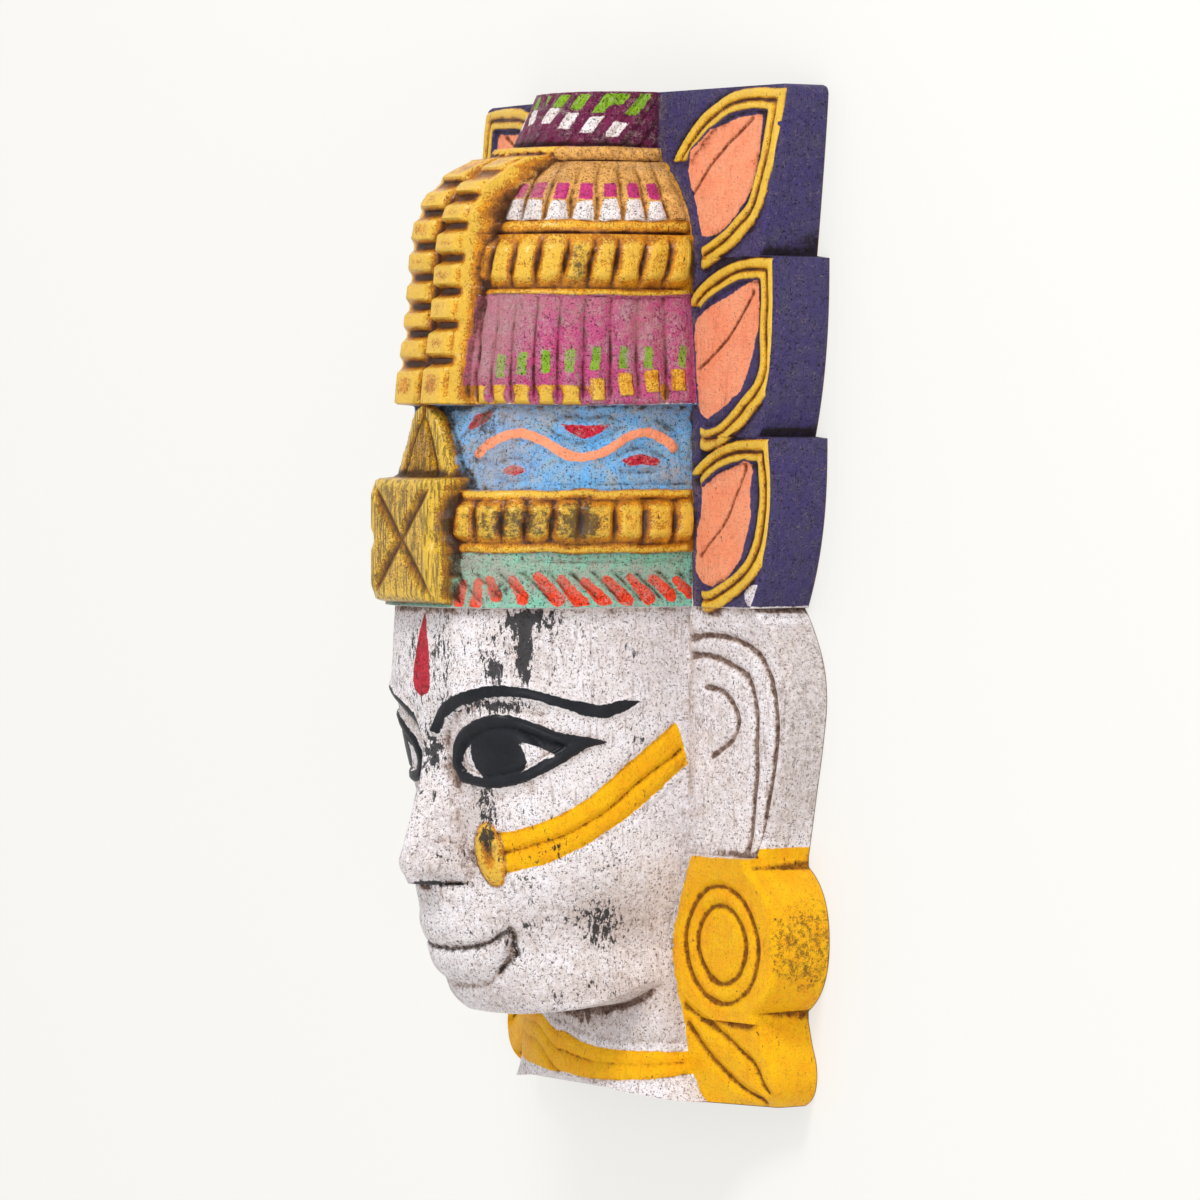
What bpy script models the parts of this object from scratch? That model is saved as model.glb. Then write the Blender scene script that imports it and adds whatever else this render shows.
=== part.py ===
"""A carved and painted wooden wall mask: a crowned goddess head in front of a flat-backed ground
of three stepped feather blocks, two ears, two disc earrings and their pendants.

The whole mask is one piece of wood. It lies on its flat back: X runs across the face, +Y to the
top of the crown and +Z out of the face. The origin is in the back plane, on the mirror line and
half way up. The carving is worked out in millimetres on a mask 460 high, 258 across and 148 deep,
and keeps its proportions when HEIGHT, WIDTH or DEPTH changes.
"""

import bmesh
import bpy
import numpy as np

# Driving dimensions in metres
HEIGHT = 0.460
WIDTH = 0.2584
DEPTH = 0.1480

# The size of the drawing, in its own millimetres
DRAWN_HEIGHT = 460.0
DRAWN_WIDTH = 258.4
DRAWN_DEPTH = 148.0

# Heights of the carved tiers above the middle, from the top down
TOP = 230.0
FINIAL_FOOT = 204.5
ROPE_FOOT = 197.7
DOME_FOOT = 169.6
LINE_FOOT = 163.7
RING_FOOT = 138.8
RIM_FOOT = 135.7
PLEAT_FOOT = 86.8
BLUE_FOOT = 48.3
GOLD_FOOT = 20.2
CROWN_FOOT = -4.7
EAR_FOOT = -117.3
CHIN_FOOT = -190.5
NOSE_FOOT = -130.8
DISC_FOOT = -191.5
BOTTOM = -230.0

# Feather blocks of the ground: top, foot, half width at the top, how far it narrows, how late
FEATHER_BLOCKS = (
    (TOP, 153.0, 128.0, 9.0, 1.2),
    (152.4, 72.2, 128.6, 10.7, 2.4),
    (71.6, CROWN_FOOT, 127.2, 15.0, 2.5),
)
TOP_CORNER = 4.5
NECKED_WIDTH = 112.8

# Disc earring, on the ground below the ear
DISC_X = 92.0
DISC_Y = -154.3
DISC_RADIUS = 37.2
DISC_SQUARENESS = 2.3
RING_RADII = (26.5, 17.5)
RING_CENTRE = (89.3, -157.0)

# Front of the neck, and how much higher its foot is cut in front
NECK_FRONT = 60.0
NECK_LIFT = 9.0

# The pendant at -X is cut narrower than its twin
PENDANT_TRIM = 14.0
# How much higher the collar ends at -X than at +X
COLLAR_RISE = 14.0

# Depth and half width of the cuts
GROOVE_DEPTH = 1.6
GROOVE_WIDTH = 2.2
BAND_EDGE = 1.2
WALL_WIDTH = 1.6

# The crest, petal and jewel on the mirror line
CREST_HALF_WIDTH = 25.0
CREST_BEAD_DEPTH = 3.8
CREST_CUTS = (
    # between the blocks of the row at -X, and of the row at +X
    (105.3, 119.1, 131.5, 144.8, 159.0, 174.0, 187.5),
    (106.5, 122.6, 138.0, 153.0, 167.5, 180.6, 191.5),
)
PETAL_HALF_WIDTH = 24.0
PETAL_RISE = 6.0
JEWEL_HALF_WIDTH = 27.5
JEWEL_FACE = 148.0
JEWEL_TOP = 53.8
JEWEL_FOOT = -2.4
JEWEL_CORNER = 4.0
JEWEL_CORNER_DROP = 1.8

# Grid of the carved surface before it is thinned
ROW_STEP = 1.7
HEAD_COLUMNS = 66
GROUND_COLUMNS = 28
ROUND_COLUMNS = 3
SIDE_COLUMNS = 4
LEDGE = 0.35
TRIANGLES = 9400


def ease(t):
    """Nought to one with soft ends."""
    t = np.clip(t, 0.0, 1.0)
    return t * t * (3.0 - 2.0 * t)


def hump(distance, width):
    """One on the line, nought from a width away, round on top."""
    t = np.clip(np.abs(distance) / width, 0.0, 1.0)
    return np.sqrt(1.0 - t * t)


def notch(distance, width):
    """One on the line, nought from a width away, with straight sides."""
    return np.clip(1.0 - np.abs(distance) / width, 0.0, 1.0)


def curve(points, at):
    """A smooth line through a few points, each a place and a value."""
    place, value = np.array(sorted(points), float).T
    slope = np.gradient(value, place)
    at = np.clip(at, place[0], place[-1])
    i = np.clip(np.searchsorted(place, at) - 1, 0, len(place) - 2)
    span = place[i + 1] - place[i]
    t = (at - place[i]) / span
    from_left = (1 + 2 * t) * (1 - t) ** 2 * value[i] + t * (1 - t) ** 2 * span * slope[i]
    from_right = t * t * (3 - 2 * t) * value[i + 1] + t * t * (t - 1) * span * slope[i + 1]
    return from_left + from_right


def path(points, count=20):
    """A smooth route through a few points of the surface."""
    points = np.array(points, float)
    run = np.concatenate([[0.0], np.cumsum(np.hypot(*np.diff(points, axis=0).T))])
    at = np.linspace(0.0, run[-1], count)
    return np.stack([curve(list(zip(run, points[:, k])), at) for k in (0, 1)], axis=1)


def circle(centre, radius, count=40):
    """A closed round route."""
    turn = np.linspace(0.0, 2.0 * np.pi, count)
    return np.stack([centre[0] + radius * np.cos(turn), centre[1] + radius * np.sin(turn)], axis=1)


def distance(across, up, route):
    """How far each place on the surface is from a route."""
    best = np.full(np.broadcast(across, up).shape, 1e9)
    for (x0, y0), (x1, y1) in zip(route[:-1], route[1:]):
        run_x, run_y = x1 - x0, y1 - y0
        length = max(run_x ** 2 + run_y ** 2, 1e-9)
        t = np.clip(((across - x0) * run_x + (up - y0) * run_y) / length, 0.0, 1.0)
        best = np.minimum(best, np.hypot(across - x0 - t * run_x, up - y0 - t * run_y))
    return best


def inside(across, up, route):
    """How far each place is inside a closed route, less than nought outside it."""
    crossings = np.zeros(np.broadcast(across, up).shape, bool)
    for (x0, y0), (x1, y1) in zip(route, np.roll(route, -1, axis=0)):
        if y0 != y1:
            spans = (y0 > up) != (y1 > up)
            crossings ^= spans & (across < x0 + (up - y0) * (x1 - x0) / (y1 - y0))
    far = distance(across, up, np.vstack([route, route[:1]]))
    return np.where(crossings, far, -far)


def tier(up, top, foot):
    """One between two heights, nought outside them, with a short slope at each end."""
    return ease((top - up) / BAND_EDGE) * ease((up - foot) / BAND_EDGE)


# Outline of the ground
def disc_reach(up):
    """Half width of the disc earring at a height."""
    t = np.clip(np.abs(up - DISC_Y) / DISC_RADIUS, 0.0, 1.0)
    return DISC_RADIUS * (1.0 - t ** DISC_SQUARENESS) ** (1.0 / DISC_SQUARENESS)


def half_width(up, pendant_trim):
    """From the mirror line to the side of the ground."""
    width = np.full_like(up, NECKED_WIDTH)
    for top, foot, widest, narrows, late in FEATHER_BLOCKS:
        t = np.clip((top - up) / (top - foot), 0.0, 1.0)
        width = np.where((up <= top) & (up >= foot), widest - narrows * t ** late, width)
    drop = np.clip(up - (TOP - TOP_CORNER), 0.0, TOP_CORNER)
    width = width - TOP_CORNER + np.sqrt(TOP_CORNER ** 2 - drop ** 2)
    ear = curve(((CROWN_FOOT, 109.5), (-8, 112.3), (-18.6, 119.3), (-32, 125.2), (-45, 127),
                 (-64.5, 124.5), (-88.5, 119.2), (EAR_FOOT, NECKED_WIDTH)), up)
    width = np.where((up < CROWN_FOOT) & (up > EAR_FOOT), ear, width)
    disc = np.maximum(DISC_X + disc_reach(up), NECKED_WIDTH)
    width = np.where((up <= EAR_FOOT) & (up > DISC_FOOT), disc, width)
    pendant = curve(((DISC_FOOT, NECKED_WIDTH), (-202, 115.9), (-211, 119.2), (-219.6, 119.2),
                     (-224.5, 117.4), (-228, 114), (BOTTOM, 110.4)), up)
    pendant = pendant - pendant_trim * ease((DISC_FOOT - up) / 3.0)
    return np.where(up <= DISC_FOOT, pendant, width)


def edge_depth(up):
    """Thickness of the ground at its side."""
    depth = curve(((CROWN_FOOT, 31), (20, 29), (50, 29), (71.8, 31)), up)
    depth = np.where(up > 71.9, curve(((72, 31.5), (100, 29), (152.6, 29.5)), up), depth)
    depth = np.where(up > 152.7, curve(((153, 31), (190, 27), (TOP, 21)), up), depth)
    ear = curve(((CROWN_FOOT, 29), (-12, 26), (-19, 23.4), (-45, 22.9), (-88, 22.8), (-105, 24.2),
                 (EAR_FOOT, 27)), up)
    depth = np.where(up < CROWN_FOOT, ear, depth)
    disc = curve(((EAR_FOOT, 36), (-132, 32.5), (-155, 30), (-175, 30.2), (DISC_FOOT, 31.2)), up)
    depth = np.where(up < EAR_FOOT, disc, depth)
    pendant = curve(((DISC_FOOT, 28.4), (-202, 27.2), (-210, 25.4), (-224, 21), (BOTTOM, 16)), up)
    return np.where(up < DISC_FOOT, pendant, depth)


def edge_round(up):
    """Radius of the ground's front edge, softer on the ear and its jewels."""
    return 1.4 + 2.6 * ease((CROWN_FOOT - up) / 10.0)


# Sections of the head
def root_width(up):
    """Half width of the head where it meets the ground."""
    neck = ((BOTTOM, 72), (-224, 67.5), (-210, 63.5), (-190, 60), (-178, 55.5), (-166, 53),
            (-157, 52.5), (-146, 54.5), (-136, 58), (-128, 61), (-110, 63), (-60, 63.5), (-6, 63))
    width = curve(neck, up)
    for foot, points in (
        (CROWN_FOOT, ((CROWN_FOOT, 66.3), (GOLD_FOOT, 66.5))),
        (GOLD_FOOT, ((GOLD_FOOT, 67.5), (BLUE_FOOT, 67.5))),
        (BLUE_FOOT, ((BLUE_FOOT, 67), (PLEAT_FOOT, 67))),
        (PLEAT_FOOT, ((PLEAT_FOOT, 71.5), (110, 69), (RIM_FOOT, 66))),
        (RIM_FOOT, ((RIM_FOOT, 66.5), (LINE_FOOT, 66))),
        (LINE_FOOT, ((LINE_FOOT, 63.5), (170, 62.8), (180, 57), (190, 48), (ROPE_FOOT, 40))),
        (ROPE_FOOT, ((ROPE_FOOT, 38), (FINIAL_FOOT, 37))),
        (FINIAL_FOOT, ((FINIAL_FOOT, 34.5), (TOP, 34.5))),
    ):
        width = np.where(up > foot, curve(points, up), width)
    return width


def root_depth(up):
    """Height above the back at which the head meets the ground."""
    return curve(((BOTTOM, 29), (-200, 33), (-157, 34.5), (-120, 33.5), (-60, 32.5), (160, 32),
                  (204, 30), (TOP, 29)), up)


def front_depth(up):
    """Height of the head's plain front above the back, on the mirror line."""
    face = ((-193, 99), (-190, 102.5), (-187, 106.5), (-181, 111.5), (-172, 115.5), (-160, 119),
            (-150, 122), (-140, 124.5), (-118, 126.5), (-95, 126), (-84, 125.5), (-72, 127),
            (-58, 131.3), (-46, 136), (-24, 136.2), (-5, 134.8))
    depth = curve(face, up)
    for foot, points in (
        (CROWN_FOOT, ((CROWN_FOOT, 139.3), (GOLD_FOOT, 137))),
        (GOLD_FOOT, ((GOLD_FOOT, 136.5), (BLUE_FOOT, 135.5))),
        (BLUE_FOOT, ((BLUE_FOOT, 131.5), (PLEAT_FOOT, 128.5))),
        (PLEAT_FOOT, ((PLEAT_FOOT, 130), (110, 126), (RIM_FOOT, 121))),
        (RIM_FOOT, ((RIM_FOOT, 120), (LINE_FOOT, 115))),
        (LINE_FOOT, ((LINE_FOOT, 113), (170, 111), (180, 106.5), (190, 98), (ROPE_FOOT, 88))),
        (ROPE_FOOT, ((ROPE_FOOT, 88), (FINIAL_FOOT, 87))),
        (FINIAL_FOOT, ((FINIAL_FOOT, 79), (TOP, 65))),
    ):
        depth = np.where(up > foot, curve(points, up), depth)
    return depth


def squareness(up):
    """How square the head's section is: two is an ellipse."""
    face = ((-192, 2.1), (-175, 2.15), (-150, 2.3), (-120, 2.55), (-80, 2.8), (-40, 3), (0, 3.0))
    crown = ((0, 3.0), (BLUE_FOOT, 2.9), (60, 2.5), (85, 2.2), (100, 2.7), (160, 2.8), (200, 2.5),
             (TOP, 2.3))
    return np.where(up > 0, curve(crown, up), curve(face, up))


def arc_shares(width, root, front, square, shares):
    """Points of one row's section at equal shares of its length, from the front to the root."""
    turn = np.linspace(np.pi / 2, 0.0, 300)
    power = (2.0 / square)[:, None]
    x = width[:, None] * np.clip(np.cos(turn), 0.0, 1.0)[None, :] ** power
    z = root[:, None] + (front - root)[:, None] * np.clip(np.sin(turn), 0.0, 1.0)[None, :] ** power
    run = np.cumsum(np.hypot(np.diff(x), np.diff(z)), axis=1)
    run = np.concatenate([np.zeros((len(x), 1)), run], axis=1)
    across = np.stack([np.interp(shares * r[-1], r, q) for r, q in zip(run, x)])
    out = np.stack([np.interp(shares * r[-1], r, q) for r, q in zip(run, z)])
    return across, out, run[:, -1:]


# Cuts between the ribs, beads and strokes of the crown, by the distance along the surface
DOME_CUTS = (-0.045, 0.045, 0.135, 0.223, 0.306, 0.398, 0.5, 0.602, 0.71, 0.81, 0.905, 1.0)
RING_CUTS = (4.5, 17, 29.5, 40.7, 52.1, 63.5, 75, 86.4, 99.1, 112.3, 125, 138)
BAND_CUTS = (2, 14.5, 27.5, 39.4, 51.8, 62, 73.6, 86, 102.8, 118.1, 134.2, 148)


def from_middle(place, cuts):
    """Nought half way between two cuts, and one at a cut."""
    cuts = np.array(cuts, float)
    middle, half = 0.5 * (cuts[1:] + cuts[:-1]), 0.5 * np.diff(cuts)
    i = np.clip(np.searchsorted(cuts, place) - 1, 0, len(half) - 1)
    return (place - middle[i]) / half[i]


def crown_relief(along, share, up):
    """Ribs, beads and pleats of the crown."""
    relief = np.zeros_like(along)

    slant = along - 0.35 * (up - FINIAL_FOOT)
    relief += tier(up, TOP + 9, FINIAL_FOOT) * (1.6 * hump((slant + 4.5) % 9.0 - 4.5, 4.6) - 0.8)

    rope = up - 0.5 * (FINIAL_FOOT + ROPE_FOOT)
    twist = (along + 0.9 * rope) % 5.6 - 2.8
    relief += hump(rope, 3.4) * (2.8 - 0.9 * notch(twist, 1.4))

    swell = ease((ROPE_FOOT + 4.0 - up) / 16.0)
    ribs = hump(from_middle(share, DOME_CUTS), 0.85) - 0.3
    relief += tier(up, ROPE_FOOT, DOME_FOOT) * swell * 2.6 * ribs
    relief += 1.6 * hump(up - 0.5 * (DOME_FOOT + LINE_FOOT), 2.9)

    ring_round = hump(up - 0.5 * (LINE_FOOT + RING_FOOT), 11.6)
    relief += ring_round * (2.4 + 3.0 * hump(from_middle(along, RING_CUTS), 1.02))
    relief += 1.2 * hump(up - 0.5 * (RING_FOOT + RIM_FOOT), 1.7)

    pleats = np.arange(-4, 9)
    pleat_lines = 43.7 + 9.35 * pleats + 0.445 * pleats ** 2
    pleat_lines = pleat_lines / 139.5
    half = 0.5 * np.interp(share, pleat_lines[:-1], np.diff(pleat_lines))
    nearest = np.min(np.abs(share[..., None] - pleat_lines), axis=-1)
    flare = 0.5 + 0.5 * ease((RIM_FOOT - up) / 40.0)
    relief += tier(up, RIM_FOOT, PLEAT_FOOT) * flare * 3.2 * (hump(nearest, half * 1.02) - 0.5)

    band_round = hump(up - 0.5 * (BLUE_FOOT + GOLD_FOOT), 10.4)
    relief += band_round * (2.2 + 2.8 * hump(from_middle(along, BAND_CUTS), 1.02))
    relief += 1.5 * hump(up - (BLUE_FOOT - 2.0), 2.0) + 1.3 * hump(up - (GOLD_FOOT + 2.0), 2.0)

    stroke = (along + 1.1 * (up - 4.0) - 75.0) % 11.1 - 5.55
    relief -= tier(up, 12.0, -3.0) * 1.5 * notch(stroke, 3.0)
    return relief


WAVE = ((31.5, 65), (39.6, 71.3), (49.4, 74), (60.2, 71), (69.6, 66), (80.7, 63.2), (90.1, 66),
        (97.1, 71.2), (106.5, 74.6), (115.6, 72), (123.2, 67.5))
BLUE_GOUGES = (
    ((63, 79.5), (71, 81.5), (79, 80.5), (87, 81.5), (95, 79)),
    ((60, 77.5), (70, 72), (79, 69.6), (88, 72), (96, 76.5)),
    ((38, 59.5), (49, 62.6), (61, 58.5)),
    ((40, 55), (50, 52.4), (59, 54.5)),
    ((95, 63.5), (107, 67.2), (122, 62.8)),
    ((99, 57.5), (110, 56), (121, 57.5)),
    ((111, 80.5), (118.5, 77), (127, 72.5)),
    ((20, 72), (28, 80), (38, 85.5)),
)


def blue_band_cuts(along, up):
    """The wave and the shallow gouges of the blue band."""
    relief = 1.1 * hump(distance(along, up, path(WAVE)), 2.6)
    for gouge in BLUE_GOUGES:
        part = (along - gouge[0][0]) / (gouge[-1][0] - gouge[0][0])
        taper = 0.25 + 0.75 * hump(2.0 * part - 1.0, 1.1)
        relief -= 1.5 * taper * notch(distance(along, up, path(gouge)), 0.6 + 2.4 * taper)
    relief -= 0.8 * notch(up - 51.0, 1.4) * ease((along - 64.0) / 8.0)
    return relief


EYE_UPPER = ((12.5, -76), (16, -66.5), (28, -58), (38.5, -54), (48, -52.8), (56, -55), (63.3, -58),
             (72.5, -61.5), (83, -63), (92, -65.5))
EYE_LOWER = ((83.3, -67), (73.2, -71.5), (61.2, -78.3), (51.2, -82.8), (40.6, -85.1), (28.8, -85.4),
             (17, -83.8))
EYE_BALL = (41.0, -71.0)
BROW = ((5.5, -60.5), (16.5, -51), (29.5, -46), (41.7, -42.5), (50.6, -42), (62, -43), (75, -47),
        (84.3, -50), (94.5, -51.5), (106.6, -48.5), (114, -47.5))
SOCKET_CUTS = (((9, -66), (25, -52), (45, -48), (66, -53)), ((9, -78), (15, -88), (31, -91), (54, -87)))
CHEEK_BAND_TOP = ((37.7, -106.5), (46.2, -105.2), (57.4, -102.3), (77.9, -92.5), (89.8, -83.7),
                  (111.7, -68.5), (131, -58))
CHEEK_BAND_MIDDLE = ((40, -115), (51.2, -112.3), (66.3, -108.3), (82.3, -100.6), (94.2, -92.8),
                     (106.2, -83.4), (131, -69.3))
CHEEK_BAND_FOOT = ((40.2, -124), (50.6, -121.6), (65.7, -117.3), (81.8, -109.7), (93.9, -102.4),
                   (106.7, -93.7), (131, -76))
CHEEK_BAND_END = 131.5
STUD_CENTRE = (33.5, -116.0)
MOUTH_LINE = ((0, -160.4), (8.3, -160.4), (17.8, -159.3), (29.2, -156.3), (36.6, -151))
MOUTH_CORNER = ((38, -150), (37.5, -161), (28, -169.5))
LIP_FOOT = ((0, -177), (7.5, -177.4), (12.5, -176.6), (17.9, -174.5), (28.5, -167.3), (35.5, -160.5),
            (38, -153))


def face_relief(along, up):
    """Brows, eyes, lips, cheek bands and the nose stud."""
    relief = 1.2 * hump(distance(along, up, path(BROW)), 3.6)

    eye = np.vstack([path(EYE_UPPER), path(EYE_LOWER)])
    lid = inside(along, up, eye)
    relief += 2.0 * ease((lid + 1.0) / 2.5) - 2.4 * ease((lid - 4.0) / 1.8)
    ball = np.hypot((along - EYE_BALL[0]) / 1.3, up - EYE_BALL[1])
    relief += 2.2 * hump(ball, 15.0) * ease((lid - 4.0) / 3.0)
    for cut in SOCKET_CUTS:
        relief -= 1.5 * notch(distance(along, up, path(cut)), 5.5)

    band_end = ease((CHEEK_BAND_END - along) / 1.5)
    for route, depth in ((CHEEK_BAND_TOP, 0.6), (CHEEK_BAND_MIDDLE, 1.0), (CHEEK_BAND_FOOT, 0.6)):
        cut = notch(distance(along, up, path(route)), GROOVE_WIDTH)
        relief -= GROOVE_DEPTH * depth * cut * band_end
    across_stud = along - STUD_CENTRE[0] + 0.1 * (up - STUD_CENTRE[1])
    stud = np.hypot(across_stud / 7.3, (up - STUD_CENTRE[1]) / 14.5)
    relief += 3.0 * hump(stud, 1.0) - 1.2 * hump(stud, 0.45)
    return relief


def lips_relief(along, up):
    """The mouth's line, the lower lip and the creases at the corner of the mouth."""
    mouth = np.interp(along, *zip(*MOUTH_LINE)) - up
    wide = ease((40.0 - along) / 8.0)
    relief = 0.7 * wide * hump(mouth + 6.0, 8.0)
    lip_reach = np.interp(along, (0, 16, 28, 38), (17.0, 17.0, 12.0, 3.0))
    relief += 2.4 * wide * hump((mouth - 0.5 * lip_reach) / lip_reach, 0.55)
    relief -= 2.2 * wide * notch(mouth, 2.4)
    relief -= 1.8 * notch(distance(along, up, path(LIP_FOOT)), 3.0)
    relief -= 1.6 * notch(distance(along, up, path(MOUTH_CORNER)), 3.5)
    return relief


COLLAR_TOP = ((0, -210.5), (0.13, -212), (0.35, -212.5), (0.55, -211), (0.83, -208.5), (1, -207.5))
COLLAR_FOOT = ((0, -230), (0.3, -228), (0.53, -225), (0.73, -222), (1, -217.5))
COLLAR_LINES = ((0.0, 0.8), (0.48, 0.9), (1.0, 1.0))


def collar_edges(share, collar_rise):
    """Heights of the collar's top and foot; it rises on one side of the neck."""
    rise = collar_rise * ease(share / 0.4)
    return curve(COLLAR_TOP, share) + rise, curve(COLLAR_FOOT, share) + rise


def collar_cuts(share, up, collar_rise):
    """The crease under the jaw and the grooves of the collar."""
    top, foot = collar_edges(share, collar_rise)
    relief = -GROOVE_DEPTH * 0.8 * notch(up - top - 4.5, GROOVE_WIDTH)
    for part, depth in COLLAR_LINES:
        line = top + part * (foot - top)
        relief -= GROOVE_DEPTH * depth * notch(up - line, GROOVE_WIDTH)
    return relief


# The crest, petal, jewel and nose stand on the head along the mirror line
def stand_boss(out, across, up, surface, half, top, foot):
    """Raise the head to a surface over a block of the given half width."""
    cover = ease((half - across) / WALL_WIDTH + 0.5)
    cover = cover * ease((top - up) / BAND_EDGE + 0.5) * ease((up - foot) / BAND_EDGE + 0.5)
    return out + cover * np.clip(surface - out, 0.0, None)


def crest_surface(across, up, cuts):
    """Front of the crest, with a row of cut blocks on each side of a groove."""
    front = curve(((88, 138.5), (96, 137.8), (121, 134), (144, 131.5), (161, 130), (174, 126.5),
                   (184, 120.5), (193, 110), (199, 97)), up)
    gap = np.min(np.abs(up[..., None] - np.array(cuts)), axis=-1)
    block = ease((gap - 0.5) / 3.4) * ease((np.abs(across) - 0.9) / 2.6)
    block = block * (0.6 + 0.4 * ease((CREST_HALF_WIDTH - 0.4 - np.abs(across)) / 2.2))
    crowned = 0.9 * (1.0 - hump(np.abs(across) - 12.5, 13.0))
    return front - crowned - CREST_BEAD_DEPTH * (1.0 - block)


def petal_half(up):
    """Half width of the petal at a height."""
    return PETAL_HALF_WIDTH * np.clip((PLEAT_FOOT - up) / (PLEAT_FOOT - BLUE_FOOT - 4.0), 0, 1) ** 0.5


def jewel_surface(across, up):
    """Flat front of the jewel with its crossed cuts and rounded edges."""
    middle = 0.5 * (JEWEL_TOP + JEWEL_FOOT)
    tall = 0.5 * (JEWEL_TOP - JEWEL_FOOT)
    from_edge = np.minimum(JEWEL_HALF_WIDTH - np.abs(across), tall - np.abs(up - middle))
    surface = JEWEL_FACE - JEWEL_CORNER_DROP * (1.0 - ease(from_edge / JEWEL_CORNER))
    slope = np.abs(up - middle) - np.abs(across) * tall / JEWEL_HALF_WIDTH
    surface = surface - 2.4 * notch(slope, 6.0)
    waist = notch(up - middle, 5.0) * notch(JEWEL_HALF_WIDTH - np.abs(across), 6.0)
    return surface - 4.5 * waist


def nose_rise(across, up):
    """How far the broad nose stands out from the face."""
    profile = curve(((-131, 15.5), (-127, 18.0), (-120, 19.8), (-112, 17.8), (-98, 14.2), (-79, 9.4),
                     (-64, 5.2), (-54, 2.0), (-44, 0)), up)
    half = curve(((-131, 24), (-122, 25), (-112, 22), (-100, 18), (-86, 14), (-70, 12), (-46, 14)), up)
    ridge = ease(1.0 - across / half)
    wing = 4.5 * ease(1.0 - np.hypot((across - 16.0) / 9.5, (up + 121.0) / 11.0))
    nostril = ease(1.0 - np.hypot((across - 13.0) / 8.5, (up + 130.5) / 5.0))
    return (profile * ridge + wing - 3.5 * nostril) * (up > NOSE_FOOT)


def muzzle_rise(across, up):
    """How far the upper lip, the lower lip and the chin stand out from the face."""
    profile = curve(((NOSE_FOOT, 8.5), (-141, 6.5), (-149, 7.2), (-156, 6.6), (-163, 4.5), (-169, 3.5),
                     (-176, 1.0), (-183, 1.5), (-187, 1.2), (-193, 0)), up)
    half = curve(((NOSE_FOOT, 25), (-141, 32), (-150, 40), (-160, 42), (-170, 38), (-176, 32),
                  (-183, 28), (-193, 22)), up)
    philtrum = 0.7 * notch(across, 6.0) * ease((up + 152.0) / 8.0)
    return (profile * ease(1.2 - across / half) - philtrum) * (up <= NOSE_FOOT)


def neck_blend(share, up):
    """One on the neck, nought on the face, along the slanted jaw."""
    jaw = curve(((0, CHIN_FOOT), (0.24, -190), (0.35, -189), (0.55, -186), (0.7, -182),
                 (0.83, -176.5), (1, -168)), share)
    return ease((jaw - up) / 4.5)


# Relief of the ground, by the place across and up
LEAVES = (
    # tip, outer side, foot and inner side of each feather's border
    ((125, 227), (123.5, 200), (113, 170), (93, 156), (70, 148), (44, 168), (48, 195), (63, 214),
     (84, 225.5), (104, 228)),
    ((127.5, 151), (127, 120), (124, 96), (109, 80), (76, 67), (54, 84), (56, 118), (70, 137),
     (90, 148), (108, 151.5)),
    ((126.5, 70.5), (125, 34), (116, 12.5), (96, -1), (76, -6.5), (54, 10), (56, 40), (72, 58.5),
     (88, 67), (106, 70)),
)
# The rims are open towards the head, left of and below these places
LEAF_MOUTHS = ((75.0, 198.0), (75.0, 131.0), (75.0, 55.0))
LEAF_VEINS = (
    ((104, 215), (84, 202), (64, 183)),
    ((112, 137), (94, 118), (73, 103.5)),
    ((107, 58), (93, 37), (73, 18.5)),
)
EAR_RIMS = (
    ((66, -19), (78, -17.4), (92, -19), (103.6, -23.5), (112, -31), (118.4, -42.3), (120, -56),
     (117, -75), (112.6, -95.5), (110.5, -114)),
    ((64.6, -26.5), (76, -27), (91, -31.5), (101, -36.5), (105.8, -46), (106, -65), (104.4, -93),
     (102.6, -113.5)),
)
EAR_HOLLOW = ((74.9, -41), (85, -43), (92.4, -49.5), (94.9, -55.2), (91.5, -63), (79, -71.4))
PENDANT_CUTS = (
    ((62, -187), (79.4, -194.6), (94.9, -202.9), (105.9, -211.1), (111.2, -222)),
    ((64, -195), (73.9, -205.5), (85.5, -215), (96.2, -222.2), (104.8, -226.4)),
)


def ground_relief(across, up):
    """Leaf borders, ear rims, disc rings and pendant cuts."""
    relief = np.zeros_like(across)
    for leaf, (mouth_x, mouth_y) in zip(LEAVES, LEAF_MOUTHS):
        depth_in = inside(across, up, path(leaf + leaf[:1], 48))
        rim = ease((depth_in + 1.2) / 1.6) - 0.85 * ease((depth_in - 8.2) / 1.8)
        rim = 1.7 * rim - 1.3 * notch(depth_in - 4.6, 1.9)
        relief += rim * ease((np.maximum(across - mouth_x, up - mouth_y) + 2.0) / 3.0)
    for vein in LEAF_VEINS:
        relief -= 1.2 * notch(distance(across, up, path(vein)), 2.0)
    for rim in EAR_RIMS:
        relief -= 2.2 * notch(distance(across, up, path(rim)), 3.2)
    relief -= 2.0 * notch(distance(across, up, path(EAR_HOLLOW)), 3.0)
    for radius in RING_RADII:
        relief -= GROOVE_DEPTH * notch(distance(across, up, circle(RING_CENTRE, radius)), 2.6)
    for cut in PENDANT_CUTS:
        relief -= 1.8 * notch(distance(across, up, path(cut)), 2.8)
    return relief


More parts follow.
